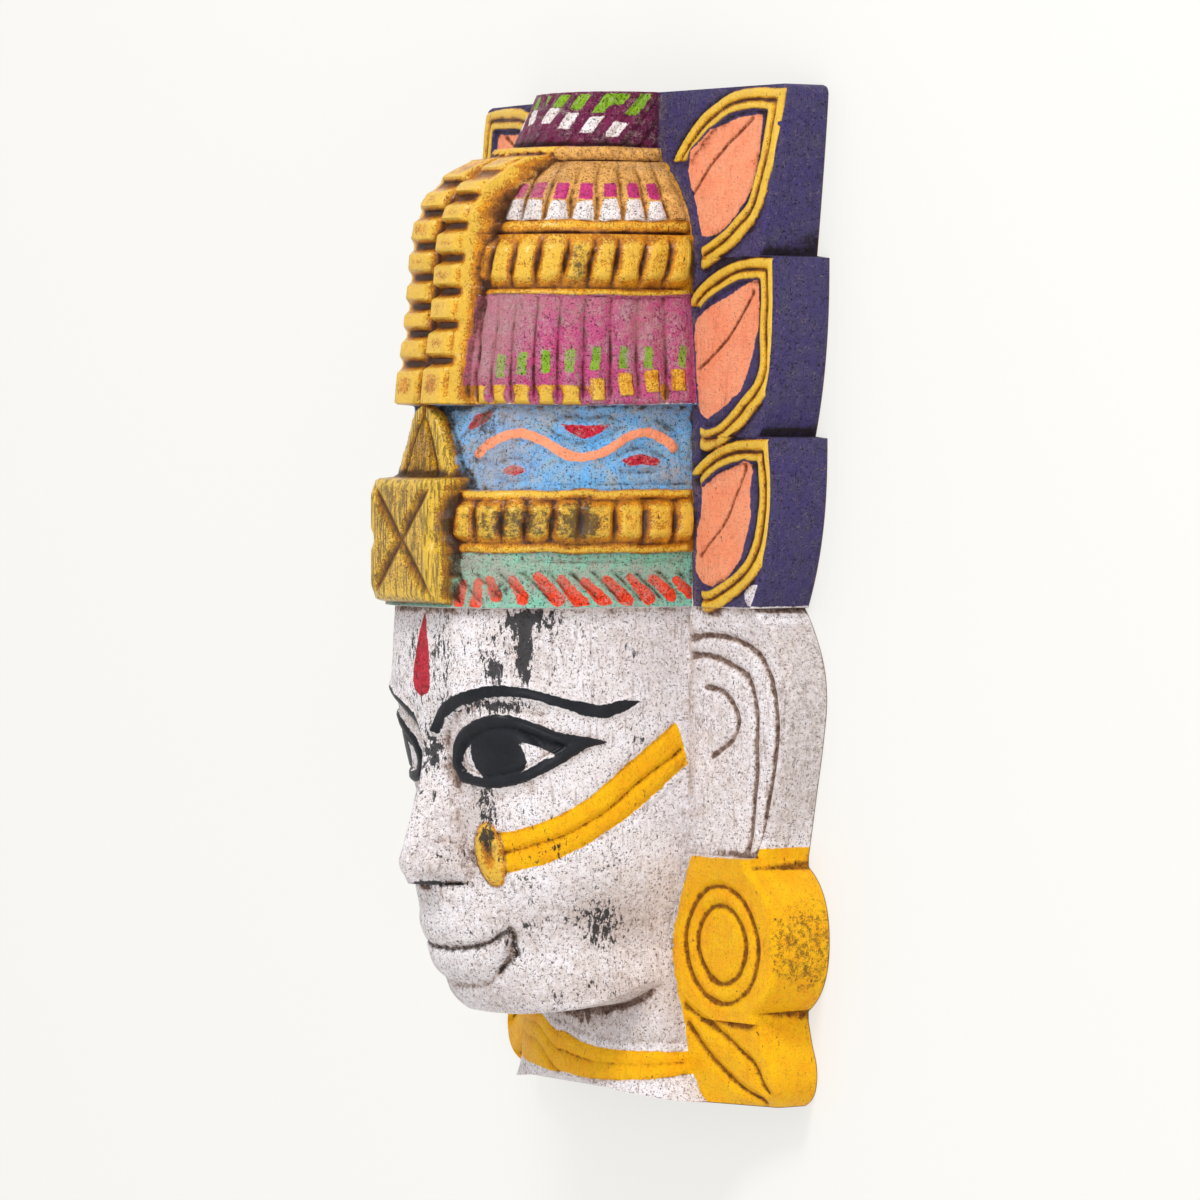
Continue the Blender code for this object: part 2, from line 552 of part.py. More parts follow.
def row_heights():
    """Heights of the grid's rows: even ones, and a close pair at each ledge."""
    ledges = [FINIAL_FOOT, ROPE_FOOT, DOME_FOOT, LINE_FOOT, RING_FOOT, RIM_FOOT, PLEAT_FOOT]
    ledges += [BLUE_FOOT, GOLD_FOOT, CROWN_FOOT, EAR_FOOT, DISC_FOOT, JEWEL_TOP, NOSE_FOOT]
    ledges += [top - LEDGE for top, *_ in FEATHER_BLOCKS[1:]]
    pairs = np.array([height + side * LEDGE for height in ledges for side in (-1, 1)])
    even = np.linspace(BOTTOM, TOP, int((TOP - BOTTOM) / ROW_STEP) + 1)
    clear = np.min(np.abs(even[:, None] - pairs[None, :]), axis=1) > 0.45 * ROW_STEP
    clear[[0, -1]] = True
    return np.sort(np.concatenate([even[clear], pairs]))


def half_surface(up, pendant_trim, crest_cuts, collar_rise):
    """The carved surface on one side, row by row: across, up and out in drawn millimetres."""
    shares = np.linspace(0.0, 1.0, HEAD_COLUMNS + 1)[None, :]
    rows = up[:, None]
    root_x, root_z = root_width(up), root_depth(up)
    across, out, length = arc_shares(root_x, root_z, front_depth(up), squareness(up), shares[0])
    along = shares * length
    rise_x, rise_z = np.gradient(across, axis=1), np.gradient(out, axis=1)
    size = np.hypot(rise_x, rise_z) + 1e-9
    normal_x, normal_z = -rise_z / size, rise_x / size
    normal_x[:, 0], normal_z[:, 0] = 0.0, 1.0

    wide = np.broadcast_to(rows, across.shape)
    share = np.broadcast_to(shares, across.shape)
    relief = np.where(wide > CROWN_FOOT, crown_relief(along, share, wide), 0.0)
    in_blue = (wide > BLUE_FOOT + 2.0) & (wide < PLEAT_FOOT - 1.0)
    relief = relief + np.where(in_blue, blue_band_cuts(along, wide), 0.0)
    face = face_relief(along, wide) + lips_relief(along, wide)
    relief = relief + np.where(wide < CROWN_FOOT - 6.0, face, 0.0)
    relief = relief * ease((1.0 - share) * length / 3.0)
    across = across + relief * normal_x
    out = out + relief * normal_z

    out = out + np.where(wide < -44.0, nose_rise(across, wide) + muzzle_rise(across, wide), 0.0)
    crest = crest_surface(across, wide, crest_cuts)
    out = stand_boss(out, across, wide, crest, CREST_HALF_WIDTH, 200.0, PLEAT_FOOT)
    heart = np.maximum(petal_half(wide) - 9.0, 0.0)
    petal = out + PETAL_RISE - 1.6 * notch(np.abs(across) - heart, 2.4)
    in_petal = (wide > BLUE_FOOT) & (wide < PLEAT_FOOT)
    out = np.where(in_petal, stand_boss(out, across, wide, petal, petal_half(wide), 90.0, 40.0), out)
    jewel = jewel_surface(across, wide)
    out = stand_boss(out, across, wide, jewel, JEWEL_HALF_WIDTH, JEWEL_TOP, JEWEL_FOOT)

    neck = neck_blend(shares[0], rows)
    neck_root = root_width(np.minimum(up, -165.0))
    round_neck = np.full_like(up, 2.1)
    neck_x, neck_z, neck_length = arc_shares(neck_root, root_z, np.full_like(up, NECK_FRONT), round_neck,
                                             shares[0])
    cuts = collar_cuts(share, wide, collar_rise) * ease((1.0 - share) * neck_length / 3.0)
    neck_x = neck_x + cuts * share
    neck_z = neck_z + cuts * (1.0 - share)
    neck_y = wide + NECK_LIFT * (1.0 - shares) ** 1.2
    across = across + neck * (neck_x - across)
    out = out + neck * (neck_z - out)
    height = wide + neck * (neck_y - wide)

    edge_x, edge_z, radius = half_width(up, pendant_trim), edge_depth(up), edge_round(up)
    steps = np.linspace(0.0, 1.0, GROUND_COLUMNS + 1)[None, 1:]
    ground_x = root_x[:, None] + (edge_x - radius - root_x)[:, None] * steps
    ground_z = root_z[:, None] + (edge_z - root_z)[:, None] * steps
    ground_up = np.broadcast_to(rows, ground_x.shape)
    fade = ease((ground_x - root_x[:, None]) / 2.5) * ease((edge_x[:, None] - ground_x) / 2.5)
    ground_z = ground_z + ground_relief(ground_x, ground_up) * fade
    turn = np.linspace(0.0, np.pi / 2, ROUND_COLUMNS + 2)[None, 1:]
    round_x = (edge_x - radius)[:, None] + radius[:, None] * np.sin(turn)
    round_z = (edge_z - radius)[:, None] + radius[:, None] * np.cos(turn)
    down = np.linspace(1.0, 0.0, SIDE_COLUMNS + 1)[None, 1:]
    side_z = (edge_z - radius)[:, None] * down
    side_x = np.broadcast_to(edge_x[:, None], side_z.shape)

    across = np.concatenate([across, ground_x, round_x, side_x], axis=1)
    out = np.concatenate([out, ground_z, round_z, side_z], axis=1)
    flat = np.broadcast_to(rows, (len(up), across.shape[1] - height.shape[1]))
    height = np.concatenate([height, flat], axis=1)
    return across, height, out


def full_surface(up):
    """Both sides as points in metres, row by row from one back edge to the other."""
    across, height, out = half_surface(up, PENDANT_TRIM, CREST_CUTS[0], COLLAR_RISE)
    left = np.stack([-across[:, :0:-1], height[:, :0:-1], out[:, :0:-1]], axis=-1)
    right = np.stack(half_surface(up, 0.0, CREST_CUTS[1], 0.0), axis=-1)
    scale = np.array([WIDTH / DRAWN_WIDTH, HEIGHT / DRAWN_HEIGHT, DEPTH / DRAWN_DEPTH])
    return np.concatenate([left, right], axis=1) * scale


def carved_mesh(name):
    """A grid laid over the carved surface, closed by a flat back and two ends."""
    points = full_surface(row_heights())
    rows, columns = points.shape[:2]
    bm = bmesh.new()
    bmesh.ops.create_grid(bm, x_segments=columns - 1, y_segments=rows - 1, size=1.0)
    for vertex in bm.verts:
        column = round((vertex.co.x + 1.0) * 0.5 * (columns - 1))
        row = round((vertex.co.y + 1.0) * 0.5 * (rows - 1))
        vertex.co = points[row, column]
    rims = [edge for edge in bm.edges if edge.is_boundary]
    long_sides = [e for e in rims if abs(e.verts[0].co.z) < 1e-7 and abs(e.verts[1].co.z) < 1e-7]
    bmesh.ops.bridge_loops(bm, edges=long_sides)
    open_ends = [edge for edge in bm.edges if edge.is_boundary]
    bmesh.ops.holes_fill(bm, edges=open_ends, sides=0)
    bmesh.ops.triangulate(bm, faces=bm.faces[:], ngon_method="EAR_CLIP")
    bmesh.ops.recalc_face_normals(bm, faces=bm.faces[:])
    mesh = bpy.data.meshes.new(name)
    bm.to_mesh(mesh)
    bm.free()
    return mesh


def painted_wood():
    """Chalky white paint on hand-carved wood."""
    material = bpy.data.materials.new("painted_wood")
    material.use_nodes = True
    shader = material.node_tree.nodes["Principled BSDF"]
    shader.inputs["Base Color"].default_value = (0.80, 0.75, 0.70, 1.0)
    shader.inputs["Roughness"].default_value = 0.62
    shader.inputs["Metallic"].default_value = 0.0
    return material


def make_mask():
    """Build the mask and thin its grid to the triangles that the form needs."""
    for old in list(bpy.data.objects):
        bpy.data.objects.remove(old, do_unlink=True)
    collection = bpy.data.collections.new("goddess_face_mask")
    bpy.context.scene.collection.children.link(collection)
    mesh = carved_mesh("mask")
    mesh.materials.append(painted_wood())
    mask = bpy.data.objects.new("mask", mesh)
    collection.objects.link(mask)
    thin = mask.modifiers.new("thin", "DECIMATE")
    thin.decimate_type = "COLLAPSE"
    thin.ratio = TRIANGLES / len(mesh.polygons)
    return mask


make_mask()
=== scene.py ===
# %% [markdown]
# # A carved and painted goddess mask
#
# The real object is one block of wood. A carver cut a crowned head out of its front and left the
# back flat, so that it hangs on a wall, and a painter finished it in chalky white and bright
# colours that have worn and darkened since. Here it lies on its flat back and the camera looks
# down on it. This lesson builds the whole mask as one surface, carves it with a few short
# functions, paints it with one material, and lights it as a small studio shot.

# %% Load the imported model
import math
import bmesh
import bpy
import numpy as np
from mathutils import Matrix


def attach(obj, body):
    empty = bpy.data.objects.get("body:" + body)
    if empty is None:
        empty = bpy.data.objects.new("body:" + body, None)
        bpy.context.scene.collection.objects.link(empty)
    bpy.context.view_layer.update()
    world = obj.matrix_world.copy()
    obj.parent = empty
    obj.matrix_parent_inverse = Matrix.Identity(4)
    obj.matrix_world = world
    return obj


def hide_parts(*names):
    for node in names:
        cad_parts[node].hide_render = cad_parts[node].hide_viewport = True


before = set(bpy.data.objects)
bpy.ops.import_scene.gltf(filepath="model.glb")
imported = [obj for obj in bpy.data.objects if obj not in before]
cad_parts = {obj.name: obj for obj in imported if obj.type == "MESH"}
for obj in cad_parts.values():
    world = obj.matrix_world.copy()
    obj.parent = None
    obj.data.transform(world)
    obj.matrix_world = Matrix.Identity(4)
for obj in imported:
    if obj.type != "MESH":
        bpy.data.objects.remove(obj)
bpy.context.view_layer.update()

# %% [markdown]
# ## Sizes
#
# The mask is drawn in its own millimetres, 460 high, and turned into metres at the very end. The
# crown is a stack of bands, so the heights of their feet come first: every rib, bead and patch of
# paint is placed between two of these numbers.

# %% Heights of the bands, widths of the ground, and the pieces on the middle line
HEIGHT = 0.460
WIDTH = 0.2584
DEPTH = 0.1480
DRAWN_HEIGHT = 460.0
DRAWN_WIDTH = 258.4
DRAWN_DEPTH = 148.0
TOP = 230.0
FINIAL_FOOT = 204.5
ROPE_FOOT = 197.7
DOME_FOOT = 169.6
LINE_FOOT = 163.7
RING_FOOT = 138.8
PLEAT_TOP = 136.6
RIM_FOOT = 135.7
PLEAT_FOOT = 86.8
BLUE_FOOT = 48.3
GOLD_FOOT = 20.2
CROWN_FOOT = -4.7
EAR_FOOT = -117.3
CHIN_FOOT = -190.5
NOSE_FOOT = -130.8
DISC_FOOT = -191.5
BOTTOM = -230.0
FEATHER_BLOCKS = (
    (TOP, 153.0, 128.0, 9.0, 1.2),
    (152.4, 72.2, 128.6, 10.7, 2.4),
    (71.6, CROWN_FOOT, 127.2, 15.0, 2.5),
)
TOP_CORNER = 4.5
NECKED_WIDTH = 112.8
DISC_X = 92.0
DISC_Y = -154.3
DISC_RADIUS = 37.2
DISC_SQUARENESS = 2.3
RING_RADII = (26.5, 17.5)
RING_CENTRE = (89.3, -157.0)
NECK_FRONT = 60.0
NECK_LIFT = 9.0
PENDANT_TRIM = 14.0
COLLAR_RISE = 14.0
GROOVE_DEPTH = 1.6
GROOVE_WIDTH = 2.2
BAND_EDGE = 1.2
WALL_WIDTH = 1.6
CREST_TOP = 200.0
CREST_HALF_WIDTH = 25.0
CREST_BEAD_DEPTH = 4.8
CREST_CUTS = (
    # between the blocks of the row at -X, and of the row at +X
    (105.3, 119.1, 131.5, 144.8, 159.0, 174.0, 187.5),
    (106.5, 122.6, 138.0, 153.0, 167.5, 180.6, 191.5),
)
PETAL_HALF_WIDTH = 24.0
PETAL_BORDER = 9.0
PETAL_RISE = 6.0
JEWEL_HALF_WIDTH = 27.5
JEWEL_FACE = 148.0
JEWEL_TOP = 53.8
JEWEL_FOOT = -2.4
JEWEL_CORNER = 4.0
JEWEL_CORNER_DROP = 1.8
print("crown from", CROWN_FOOT, "to", TOP, "mm, chin at", CHIN_FOOT)

# %% [markdown]
# ## Small tools for profiles
#
# A carver thinks in profiles: round, V-shaped, or easing out to nothing. Three short functions give
# those profiles, and three more draw lines: a smooth one through a few points, a route over the
# surface, and a circle. With them a bead or a groove is one line of arithmetic on a whole array of
# places at once.

# %% Profiles and smooth lines
def ease(t):
    """Nought to one with soft ends."""
    t = np.clip(t, 0.0, 1.0)
    return t * t * (3.0 - 2.0 * t)


def hump(distance, width):
    """One on the line, nought from a width away, round on top."""
    t = np.clip(np.abs(distance) / width, 0.0, 1.0)
    return np.sqrt(1.0 - t * t)


def notch(distance, width):
    """One on the line, nought from a width away, with straight sides."""
    return np.clip(1.0 - np.abs(distance) / width, 0.0, 1.0)


def curve(points, at):
    """A smooth line through a few points, each a place and a value."""
    place, value = np.array(sorted(points), float).T
    slope = np.gradient(value, place)
    at = np.clip(at, place[0], place[-1])
    i = np.clip(np.searchsorted(place, at) - 1, 0, len(place) - 2)
    span = place[i + 1] - place[i]
    t = (at - place[i]) / span
    from_left = (1 + 2 * t) * (1 - t) ** 2 * value[i] + t * (1 - t) ** 2 * span * slope[i]
    from_right = t * t * (3 - 2 * t) * value[i + 1] + t * t * (t - 1) * span * slope[i + 1]
    return from_left + from_right


def path(points, count=20):
    """A smooth route through a few points of the surface."""
    points = np.array(points, float)
    run = np.concatenate([[0.0], np.cumsum(np.hypot(*np.diff(points, axis=0).T))])
    at = np.linspace(0.0, run[-1], count)
    return np.stack([curve(list(zip(run, points[:, k])), at) for k in (0, 1)], axis=1)


def circle(centre, radius, count=40):
    """A closed round route."""
    turn = np.linspace(0.0, 2.0 * np.pi, count)
    return np.stack([centre[0] + radius * np.cos(turn), centre[1] + radius * np.sin(turn)], axis=1)


print("a rib half way down its side:", round(float(hump(0.5, 1.0)), 2))

# %% [markdown]
# ## How far from a cut
#
# Most of the carving follows a line: a brow, a leaf's rim, the ring of an earring. It is enough to
# know how far each place is from that line. The same distance places the paint later, which keeps
# the colours on the carving they belong to. Places far from a line are skipped to save time.

# %% Distance to a line and depth inside a closed one
REACH = 14.0


def near_route(across, up, route):
    """The places that lie within reach of a route."""
    low, high = route.min(axis=0) - REACH, route.max(axis=0) + REACH
    return (across > low[0]) & (across < high[0]) & (up > low[1]) & (up < high[1])


def distance(across, up, route):
    """How far each place is from a route, counted no further than the reach."""
    route = np.asarray(route, float)
    across, up = np.broadcast_arrays(across, up)
    best = np.full(across.shape, REACH)
    near = near_route(across, up, route)
    a, b, close = across[near], up[near], best[near]
    for (x0, y0), (x1, y1) in zip(route[:-1], route[1:]):
        run_x, run_y = x1 - x0, y1 - y0
        length = max(run_x ** 2 + run_y ** 2, 1e-9)
        t = np.clip(((a - x0) * run_x + (b - y0) * run_y) / length, 0.0, 1.0)
        close = np.minimum(close, np.hypot(a - x0 - t * run_x, b - y0 - t * run_y))
    best[near] = close
    return best


def inside(across, up, route):
    """How far each place is inside a closed route, less than nought outside it."""
    route = np.asarray(route, float)
    across, up = np.broadcast_arrays(across, up)
    near = near_route(across, up, route)
    a, b = across[near], up[near]
    crossed = np.zeros(a.shape, bool)
    for (x0, y0), (x1, y1) in zip(route, np.roll(route, -1, axis=0)):
        if y0 != y1:
            crossed ^= ((y0 > b) != (y1 > b)) & (a < x0 + (b - y0) * (x1 - x0) / (y1 - y0))
    within = np.zeros(across.shape, bool)
    within[near] = crossed
    far = distance(across, up, np.vstack([route, route[:1]]))
    return np.where(within, far, -far)


print("reach of a cut:", REACH, "mm")

# %% [markdown]
# ## A hand that wanders
#
# No line on a hand-carved piece is quite straight. This function gives smooth random numbers over
# the surface, the same on every run because the seed is fixed. Added to a place before the carving
# is worked out, it bends ribs and beads by a fraction of a millimetre.

# %% Smooth random numbers
def wander(a, b, size, seed):
    """Smooth random numbers from -1 to 1, in lumps of about the given size."""
    lattice = np.random.default_rng(seed).uniform(-1.0, 1.0, (64, 64))
    u, v = a / size + 20.0, b / size + 32.0
    i, j = np.floor(u).astype(int), np.floor(v).astype(int)
    s, t = ease(u - i), ease(v - j)
    i, j = i % 64, j % 64
    k, m = (i + 1) % 64, (j + 1) % 64
    low = lattice[i, j] * (1.0 - s) + lattice[k, j] * s
    high = lattice[i, m] * (1.0 - s) + lattice[k, m] * s
    return low * (1.0 - t) + high * t


print("wander at one place:", round(float(wander(np.array(3.0), np.array(5.0), 9.0, 1)), 3))

# %% [markdown]
# ## The outline of the ground
#
# Behind the head the block is left as a flat ground: three stepped feather blocks, the ears, two
# disc earrings and their pendants. One function gives its half width at any height, one its
# thickness at the side, and one how round its front edge has worn.

# %% Outline and thickness of the ground
def tier(up, top, foot):
    """One between two heights, nought outside them, with a short slope at each end."""
    return ease((top - up) / BAND_EDGE) * ease((up - foot) / BAND_EDGE)


def disc_reach(up):
    """Half width of the disc earring at a height."""
    t = np.clip(np.abs(up - DISC_Y) / DISC_RADIUS, 0.0, 1.0)
    return DISC_RADIUS * (1.0 - t ** DISC_SQUARENESS) ** (1.0 / DISC_SQUARENESS)


def half_width(up, pendant_trim):
    """From the mirror line to the side of the ground."""
    width = np.full_like(up, NECKED_WIDTH)
    for top, foot, widest, narrows, late in FEATHER_BLOCKS:
        t = np.clip((top - up) / (top - foot), 0.0, 1.0)
        width = np.where((up <= top) & (up >= foot), widest - narrows * t ** late, width)
    drop = np.clip(up - (TOP - TOP_CORNER), 0.0, TOP_CORNER)
    width = width - TOP_CORNER + np.sqrt(TOP_CORNER ** 2 - drop ** 2)
    ear = curve(((CROWN_FOOT, 109.5), (-8, 112.3), (-18.6, 119.3), (-32, 125.2), (-45, 127),
                 (-64.5, 124.5), (-88.5, 119.2), (EAR_FOOT, NECKED_WIDTH)), up)
    width = np.where((up < CROWN_FOOT) & (up > EAR_FOOT), ear, width)
    disc = np.maximum(DISC_X + disc_reach(up), NECKED_WIDTH)
    width = np.where((up <= EAR_FOOT) & (up > DISC_FOOT), disc, width)
    pendant = curve(((DISC_FOOT, NECKED_WIDTH), (-202, 115.9), (-211, 119.2), (-219.6, 119.2),
                     (-224.5, 117.4), (-228, 114), (BOTTOM, 110.4)), up)
    pendant = pendant - pendant_trim * ease((DISC_FOOT - up) / 3.0)
    return np.where(up <= DISC_FOOT, pendant, width)


def edge_depth(up):
    """Thickness of the ground at its side."""
    depth = curve(((CROWN_FOOT, 31), (20, 29), (50, 29), (71.8, 31)), up)
    depth = np.where(up > 71.9, curve(((72, 31.5), (100, 29), (152.6, 29.5)), up), depth)
    depth = np.where(up > 152.7, curve(((153, 31), (190, 27), (TOP, 21)), up), depth)
    ear = curve(((CROWN_FOOT, 29), (-12, 26), (-19, 23.4), (-45, 22.9), (-88, 22.8), (-105, 24.2),
                 (EAR_FOOT, 27)), up)
    depth = np.where(up < CROWN_FOOT, ear, depth)
    disc = curve(((EAR_FOOT, 36), (-132, 32.5), (-155, 30), (-175, 30.2), (DISC_FOOT, 31.2)), up)
    depth = np.where(up < EAR_FOOT, disc, depth)
    pendant = curve(((DISC_FOOT, 28.4), (-202, 27.2), (-210, 25.4), (-224, 21), (BOTTOM, 16)), up)
    return np.where(up < DISC_FOOT, pendant, depth)


def edge_round(up):
    """Radius of the ground's front edge, softer on the ear and its jewels."""
    return 1.4 + 2.6 * ease((CROWN_FOOT - up) / 10.0)


print("widest:", round(2.0 * float(np.max(half_width(np.linspace(-230, 230, 921), 0.0))), 1), "mm")

# %% [markdown]
# ## Sections of the head
#
# Cut across anywhere, the head is half of a squarish oval standing on the ground. Its half width,
# its depth and its squareness change with height, with a step at each band of the crown. Points are
# spread by equal lengths of the oval, so that a bead is as wide at the side as in front.

# %% The head's plain sections
def root_width(up):
    """Half width of the head where it meets the ground."""
    neck = ((BOTTOM, 72), (-224, 67.5), (-210, 63.5), (-190, 60), (-178, 55.5), (-166, 53),
            (-157, 52.5), (-146, 54.5), (-136, 58), (-128, 61), (-110, 63), (-60, 63.5), (-6, 63))
    width = curve(neck, up)
    for foot, points in (
        (CROWN_FOOT, ((CROWN_FOOT, 66.3), (GOLD_FOOT, 66.5))),
        (GOLD_FOOT, ((GOLD_FOOT, 67.5), (BLUE_FOOT, 67.5))),
        (BLUE_FOOT, ((BLUE_FOOT, 67), (PLEAT_FOOT, 67))),
        (PLEAT_FOOT, ((PLEAT_FOOT, 71.5), (110, 69), (RIM_FOOT, 66))),
        (RIM_FOOT, ((RIM_FOOT, 66.5), (LINE_FOOT, 66))),
        (LINE_FOOT, ((LINE_FOOT, 63.5), (170, 62.8), (180, 57), (190, 48), (ROPE_FOOT, 40))),
        (ROPE_FOOT, ((ROPE_FOOT, 38), (FINIAL_FOOT, 37))),
        (FINIAL_FOOT, ((FINIAL_FOOT, 34.5), (TOP, 34.5))),
    ):
        width = np.where(up > foot, curve(points, up), width)
    return width


def root_depth(up):
    """Height above the back at which the head meets the ground."""
    return curve(((BOTTOM, 29), (-200, 33), (-157, 34.5), (-120, 33.5), (-60, 32.5), (160, 32),
                  (204, 30), (TOP, 29)), up)


def front_depth(up):
    """Height of the head's plain front above the back, on the mirror line."""
    face = ((-193, 99), (-190, 102.5), (-187, 106.5), (-181, 111.5), (-172, 115.5), (-160, 119),
            (-150, 122), (-140, 124.5), (-118, 126.5), (-95, 126), (-84, 125.5), (-72, 127),
            (-58, 131.3), (-46, 136), (-24, 136.2), (-5, 134.8))
    depth = curve(face, up)
    for foot, points in (
        (CROWN_FOOT, ((CROWN_FOOT, 139.3), (GOLD_FOOT, 137))),
        (GOLD_FOOT, ((GOLD_FOOT, 136.5), (BLUE_FOOT, 135.5))),
        (BLUE_FOOT, ((BLUE_FOOT, 131.5), (PLEAT_FOOT, 128.5))),
        (PLEAT_FOOT, ((PLEAT_FOOT, 130), (110, 126), (RIM_FOOT, 121))),
        (RIM_FOOT, ((RIM_FOOT, 120), (LINE_FOOT, 115))),
        (LINE_FOOT, ((LINE_FOOT, 113), (170, 111), (180, 106.5), (190, 98), (ROPE_FOOT, 88))),
        (ROPE_FOOT, ((ROPE_FOOT, 88), (FINIAL_FOOT, 87))),
        (FINIAL_FOOT, ((FINIAL_FOOT, 79), (TOP, 65))),
    ):
        depth = np.where(up > foot, curve(points, up), depth)
    return depth


def squareness(up):
    """How square the head's section is: two is an ellipse."""
    face = ((-192, 2.1), (-175, 2.15), (-150, 2.3), (-120, 2.55), (-80, 2.8), (-40, 3), (0, 3.0))
    crown = ((0, 3.0), (BLUE_FOOT, 2.9), (60, 2.5), (85, 2.2), (100, 2.7), (160, 2.8), (200, 2.5),
             (TOP, 2.3))
    return np.where(up > 0, curve(crown, up), curve(face, up))


def arc_shares(width, root, front, square, shares):
    """Points of one row's section at equal shares of its length, from the front to the root."""
    turn = np.linspace(np.pi / 2, 0.0, 300)
    power = (2.0 / square)[:, None]
    x = width[:, None] * np.clip(np.cos(turn), 0.0, 1.0)[None, :] ** power
    z = root[:, None] + (front - root)[:, None] * np.clip(np.sin(turn), 0.0, 1.0)[None, :] ** power
    run = np.cumsum(np.hypot(np.diff(x), np.diff(z)), axis=1)
    run = np.concatenate([np.zeros((len(x), 1)), run], axis=1)
    across = np.stack([np.interp(shares * r[-1], r, q) for r, q in zip(run, x)])
    out = np.stack([np.interp(shares * r[-1], r, q) for r, q in zip(run, z)])
    return across, out, run[:, -1:]


print("depth of the forehead:", round(float(front_depth(np.array([-30.0]))[0]), 1), "mm")

# %% [markdown]
# ## Carving of the crown
#
# From the top: a ribbed finial, a rope, a ribbed dome, a ring of beads, a pleated skirt, a band
# with a wave, another row of beads and a rim of slanting strokes. Each is a profile that repeats
# along the surface.

# %% Ribs, beads, pleats and strokes
DOME_CUTS = (-0.045, 0.045, 0.135, 0.223, 0.306, 0.398, 0.5, 0.602, 0.71, 0.81, 0.905, 1.0)
RING_CUTS = (4.5, 17, 29.5, 40.7, 52.1, 63.5, 75, 86.4, 99.1, 112.3, 125, 138)
BAND_CUTS = (2, 14.5, 27.5, 39.4, 51.8, 62, 73.6, 86, 102.8, 118.1, 134.2, 148)
FINIAL_PITCH = 9.0
ROPE_PITCH = 5.6
STROKE_PITCH = 11.1
PLEATS = np.arange(-4, 9)
# the pleats lie a little wider apart towards the side, as shares of a row 139.5 mm long
PLEAT_LINES = (43.7 + 9.35 * PLEATS + 0.445 * PLEATS ** 2) / 139.5


def from_middle(place, cuts):
    """Nought half way between two cuts, and one at a cut."""
    cuts = np.array(cuts, float)
    middle, half = 0.5 * (cuts[1:] + cuts[:-1]), 0.5 * np.diff(cuts)
    i = np.clip(np.searchsorted(cuts, place) - 1, 0, len(half) - 1)
    return (place - middle[i]) / half[i]


def from_repeat(place, pitch):
    """How far each place is from the middle of its own repeat."""
    return place % pitch - 0.5 * pitch


def facets(place):
    """A bead cut with three flats: two slopes and a top that is nearly level."""
    slope = np.clip(1.02 - np.abs(place), 0.0, 1.0)
    return np.minimum(1.9 * slope, 0.82 + 0.18 * slope)


def crown_relief(along, share, up):
    """Ribs, beads and pleats of the crown."""
    relief = np.zeros_like(along)

    slant = along - 0.35 * (up - FINIAL_FOOT)
    rib = from_repeat(slant + 0.5 * FINIAL_PITCH, FINIAL_PITCH)
    relief += tier(up, TOP + 9, FINIAL_FOOT) * (1.6 * hump(rib, 4.6) - 0.8)

    rope = up - 0.5 * (FINIAL_FOOT + ROPE_FOOT)
    twist = from_repeat(along + 0.9 * rope, ROPE_PITCH)
    relief += hump(rope, 3.4) * (2.9 - 1.3 * notch(twist, 1.6))

    swell = ease((ROPE_FOOT + 4.0 - up) / 16.0)
    ribs = hump(from_middle(share, DOME_CUTS), 0.85) - 0.3
    relief += tier(up, ROPE_FOOT, DOME_FOOT) * swell * 2.6 * ribs
    relief += 1.6 * hump(up - 0.5 * (DOME_FOOT + LINE_FOOT), 2.9)

    ring_round = facets((up - 0.5 * (LINE_FOOT + RING_FOOT)) / 11.6)
    relief += ring_round * (2.0 + 3.4 * facets(from_middle(along, RING_CUTS)))
    relief += 1.2 * hump(up - 0.5 * (RING_FOOT + RIM_FOOT), 1.7)

    half = 0.5 * np.interp(share, PLEAT_LINES[:-1], np.diff(PLEAT_LINES))
    nearest = np.min(np.abs(share[..., None] - PLEAT_LINES), axis=-1)
    flare = 0.5 + 0.5 * ease((RIM_FOOT - up) / 40.0)
    relief += tier(up, RIM_FOOT, PLEAT_FOOT) * flare * 3.9 * (hump(nearest, half * 1.02) - 0.55)

    band_round = facets((up - 0.5 * (BLUE_FOOT + GOLD_FOOT)) / 10.4)
    relief += band_round * (1.8 + 3.2 * facets(from_middle(along, BAND_CUTS)))
    relief += 1.5 * hump(up - (BLUE_FOOT - 2.0), 2.0) + 1.3 * hump(up - (GOLD_FOOT + 2.0), 2.0)

    stroke = from_repeat(along + 1.1 * (up - 4.0) - 75.0, STROKE_PITCH)
    relief -= tier(up, 12.0, -3.0) * 1.5 * notch(stroke, 3.0)
    relief -= 0.8 * notch(up - 15.8, 1.4) * ease((along - 55.0) / 8.0)
    return relief


WAVE = ((31.5, 65), (39.6, 71.3), (49.4, 74), (60.2, 71), (69.6, 66), (80.7, 63.2), (90.1, 66),
        (97.1, 71.2), (106.5, 74.6), (115.6, 72), (123.2, 67.5))
BLUE_GOUGES = (
    ((63, 79.5), (71, 81.5), (79, 80.5), (87, 81.5), (95, 79)),
    ((60, 77.5), (70, 72), (79, 69.6), (88, 72), (96, 76.5)),
    ((38, 59.5), (49, 62.6), (61, 58.5)),
    ((40, 55), (50, 52.4), (59, 54.5)),
    ((95, 63.5), (107, 67.2), (122, 62.8)),
    ((99, 57.5), (110, 56), (121, 57.5)),
    ((111, 80.5), (118.5, 77), (127, 72.5)),
    ((20, 72), (28, 80), (38, 85.5)),
)


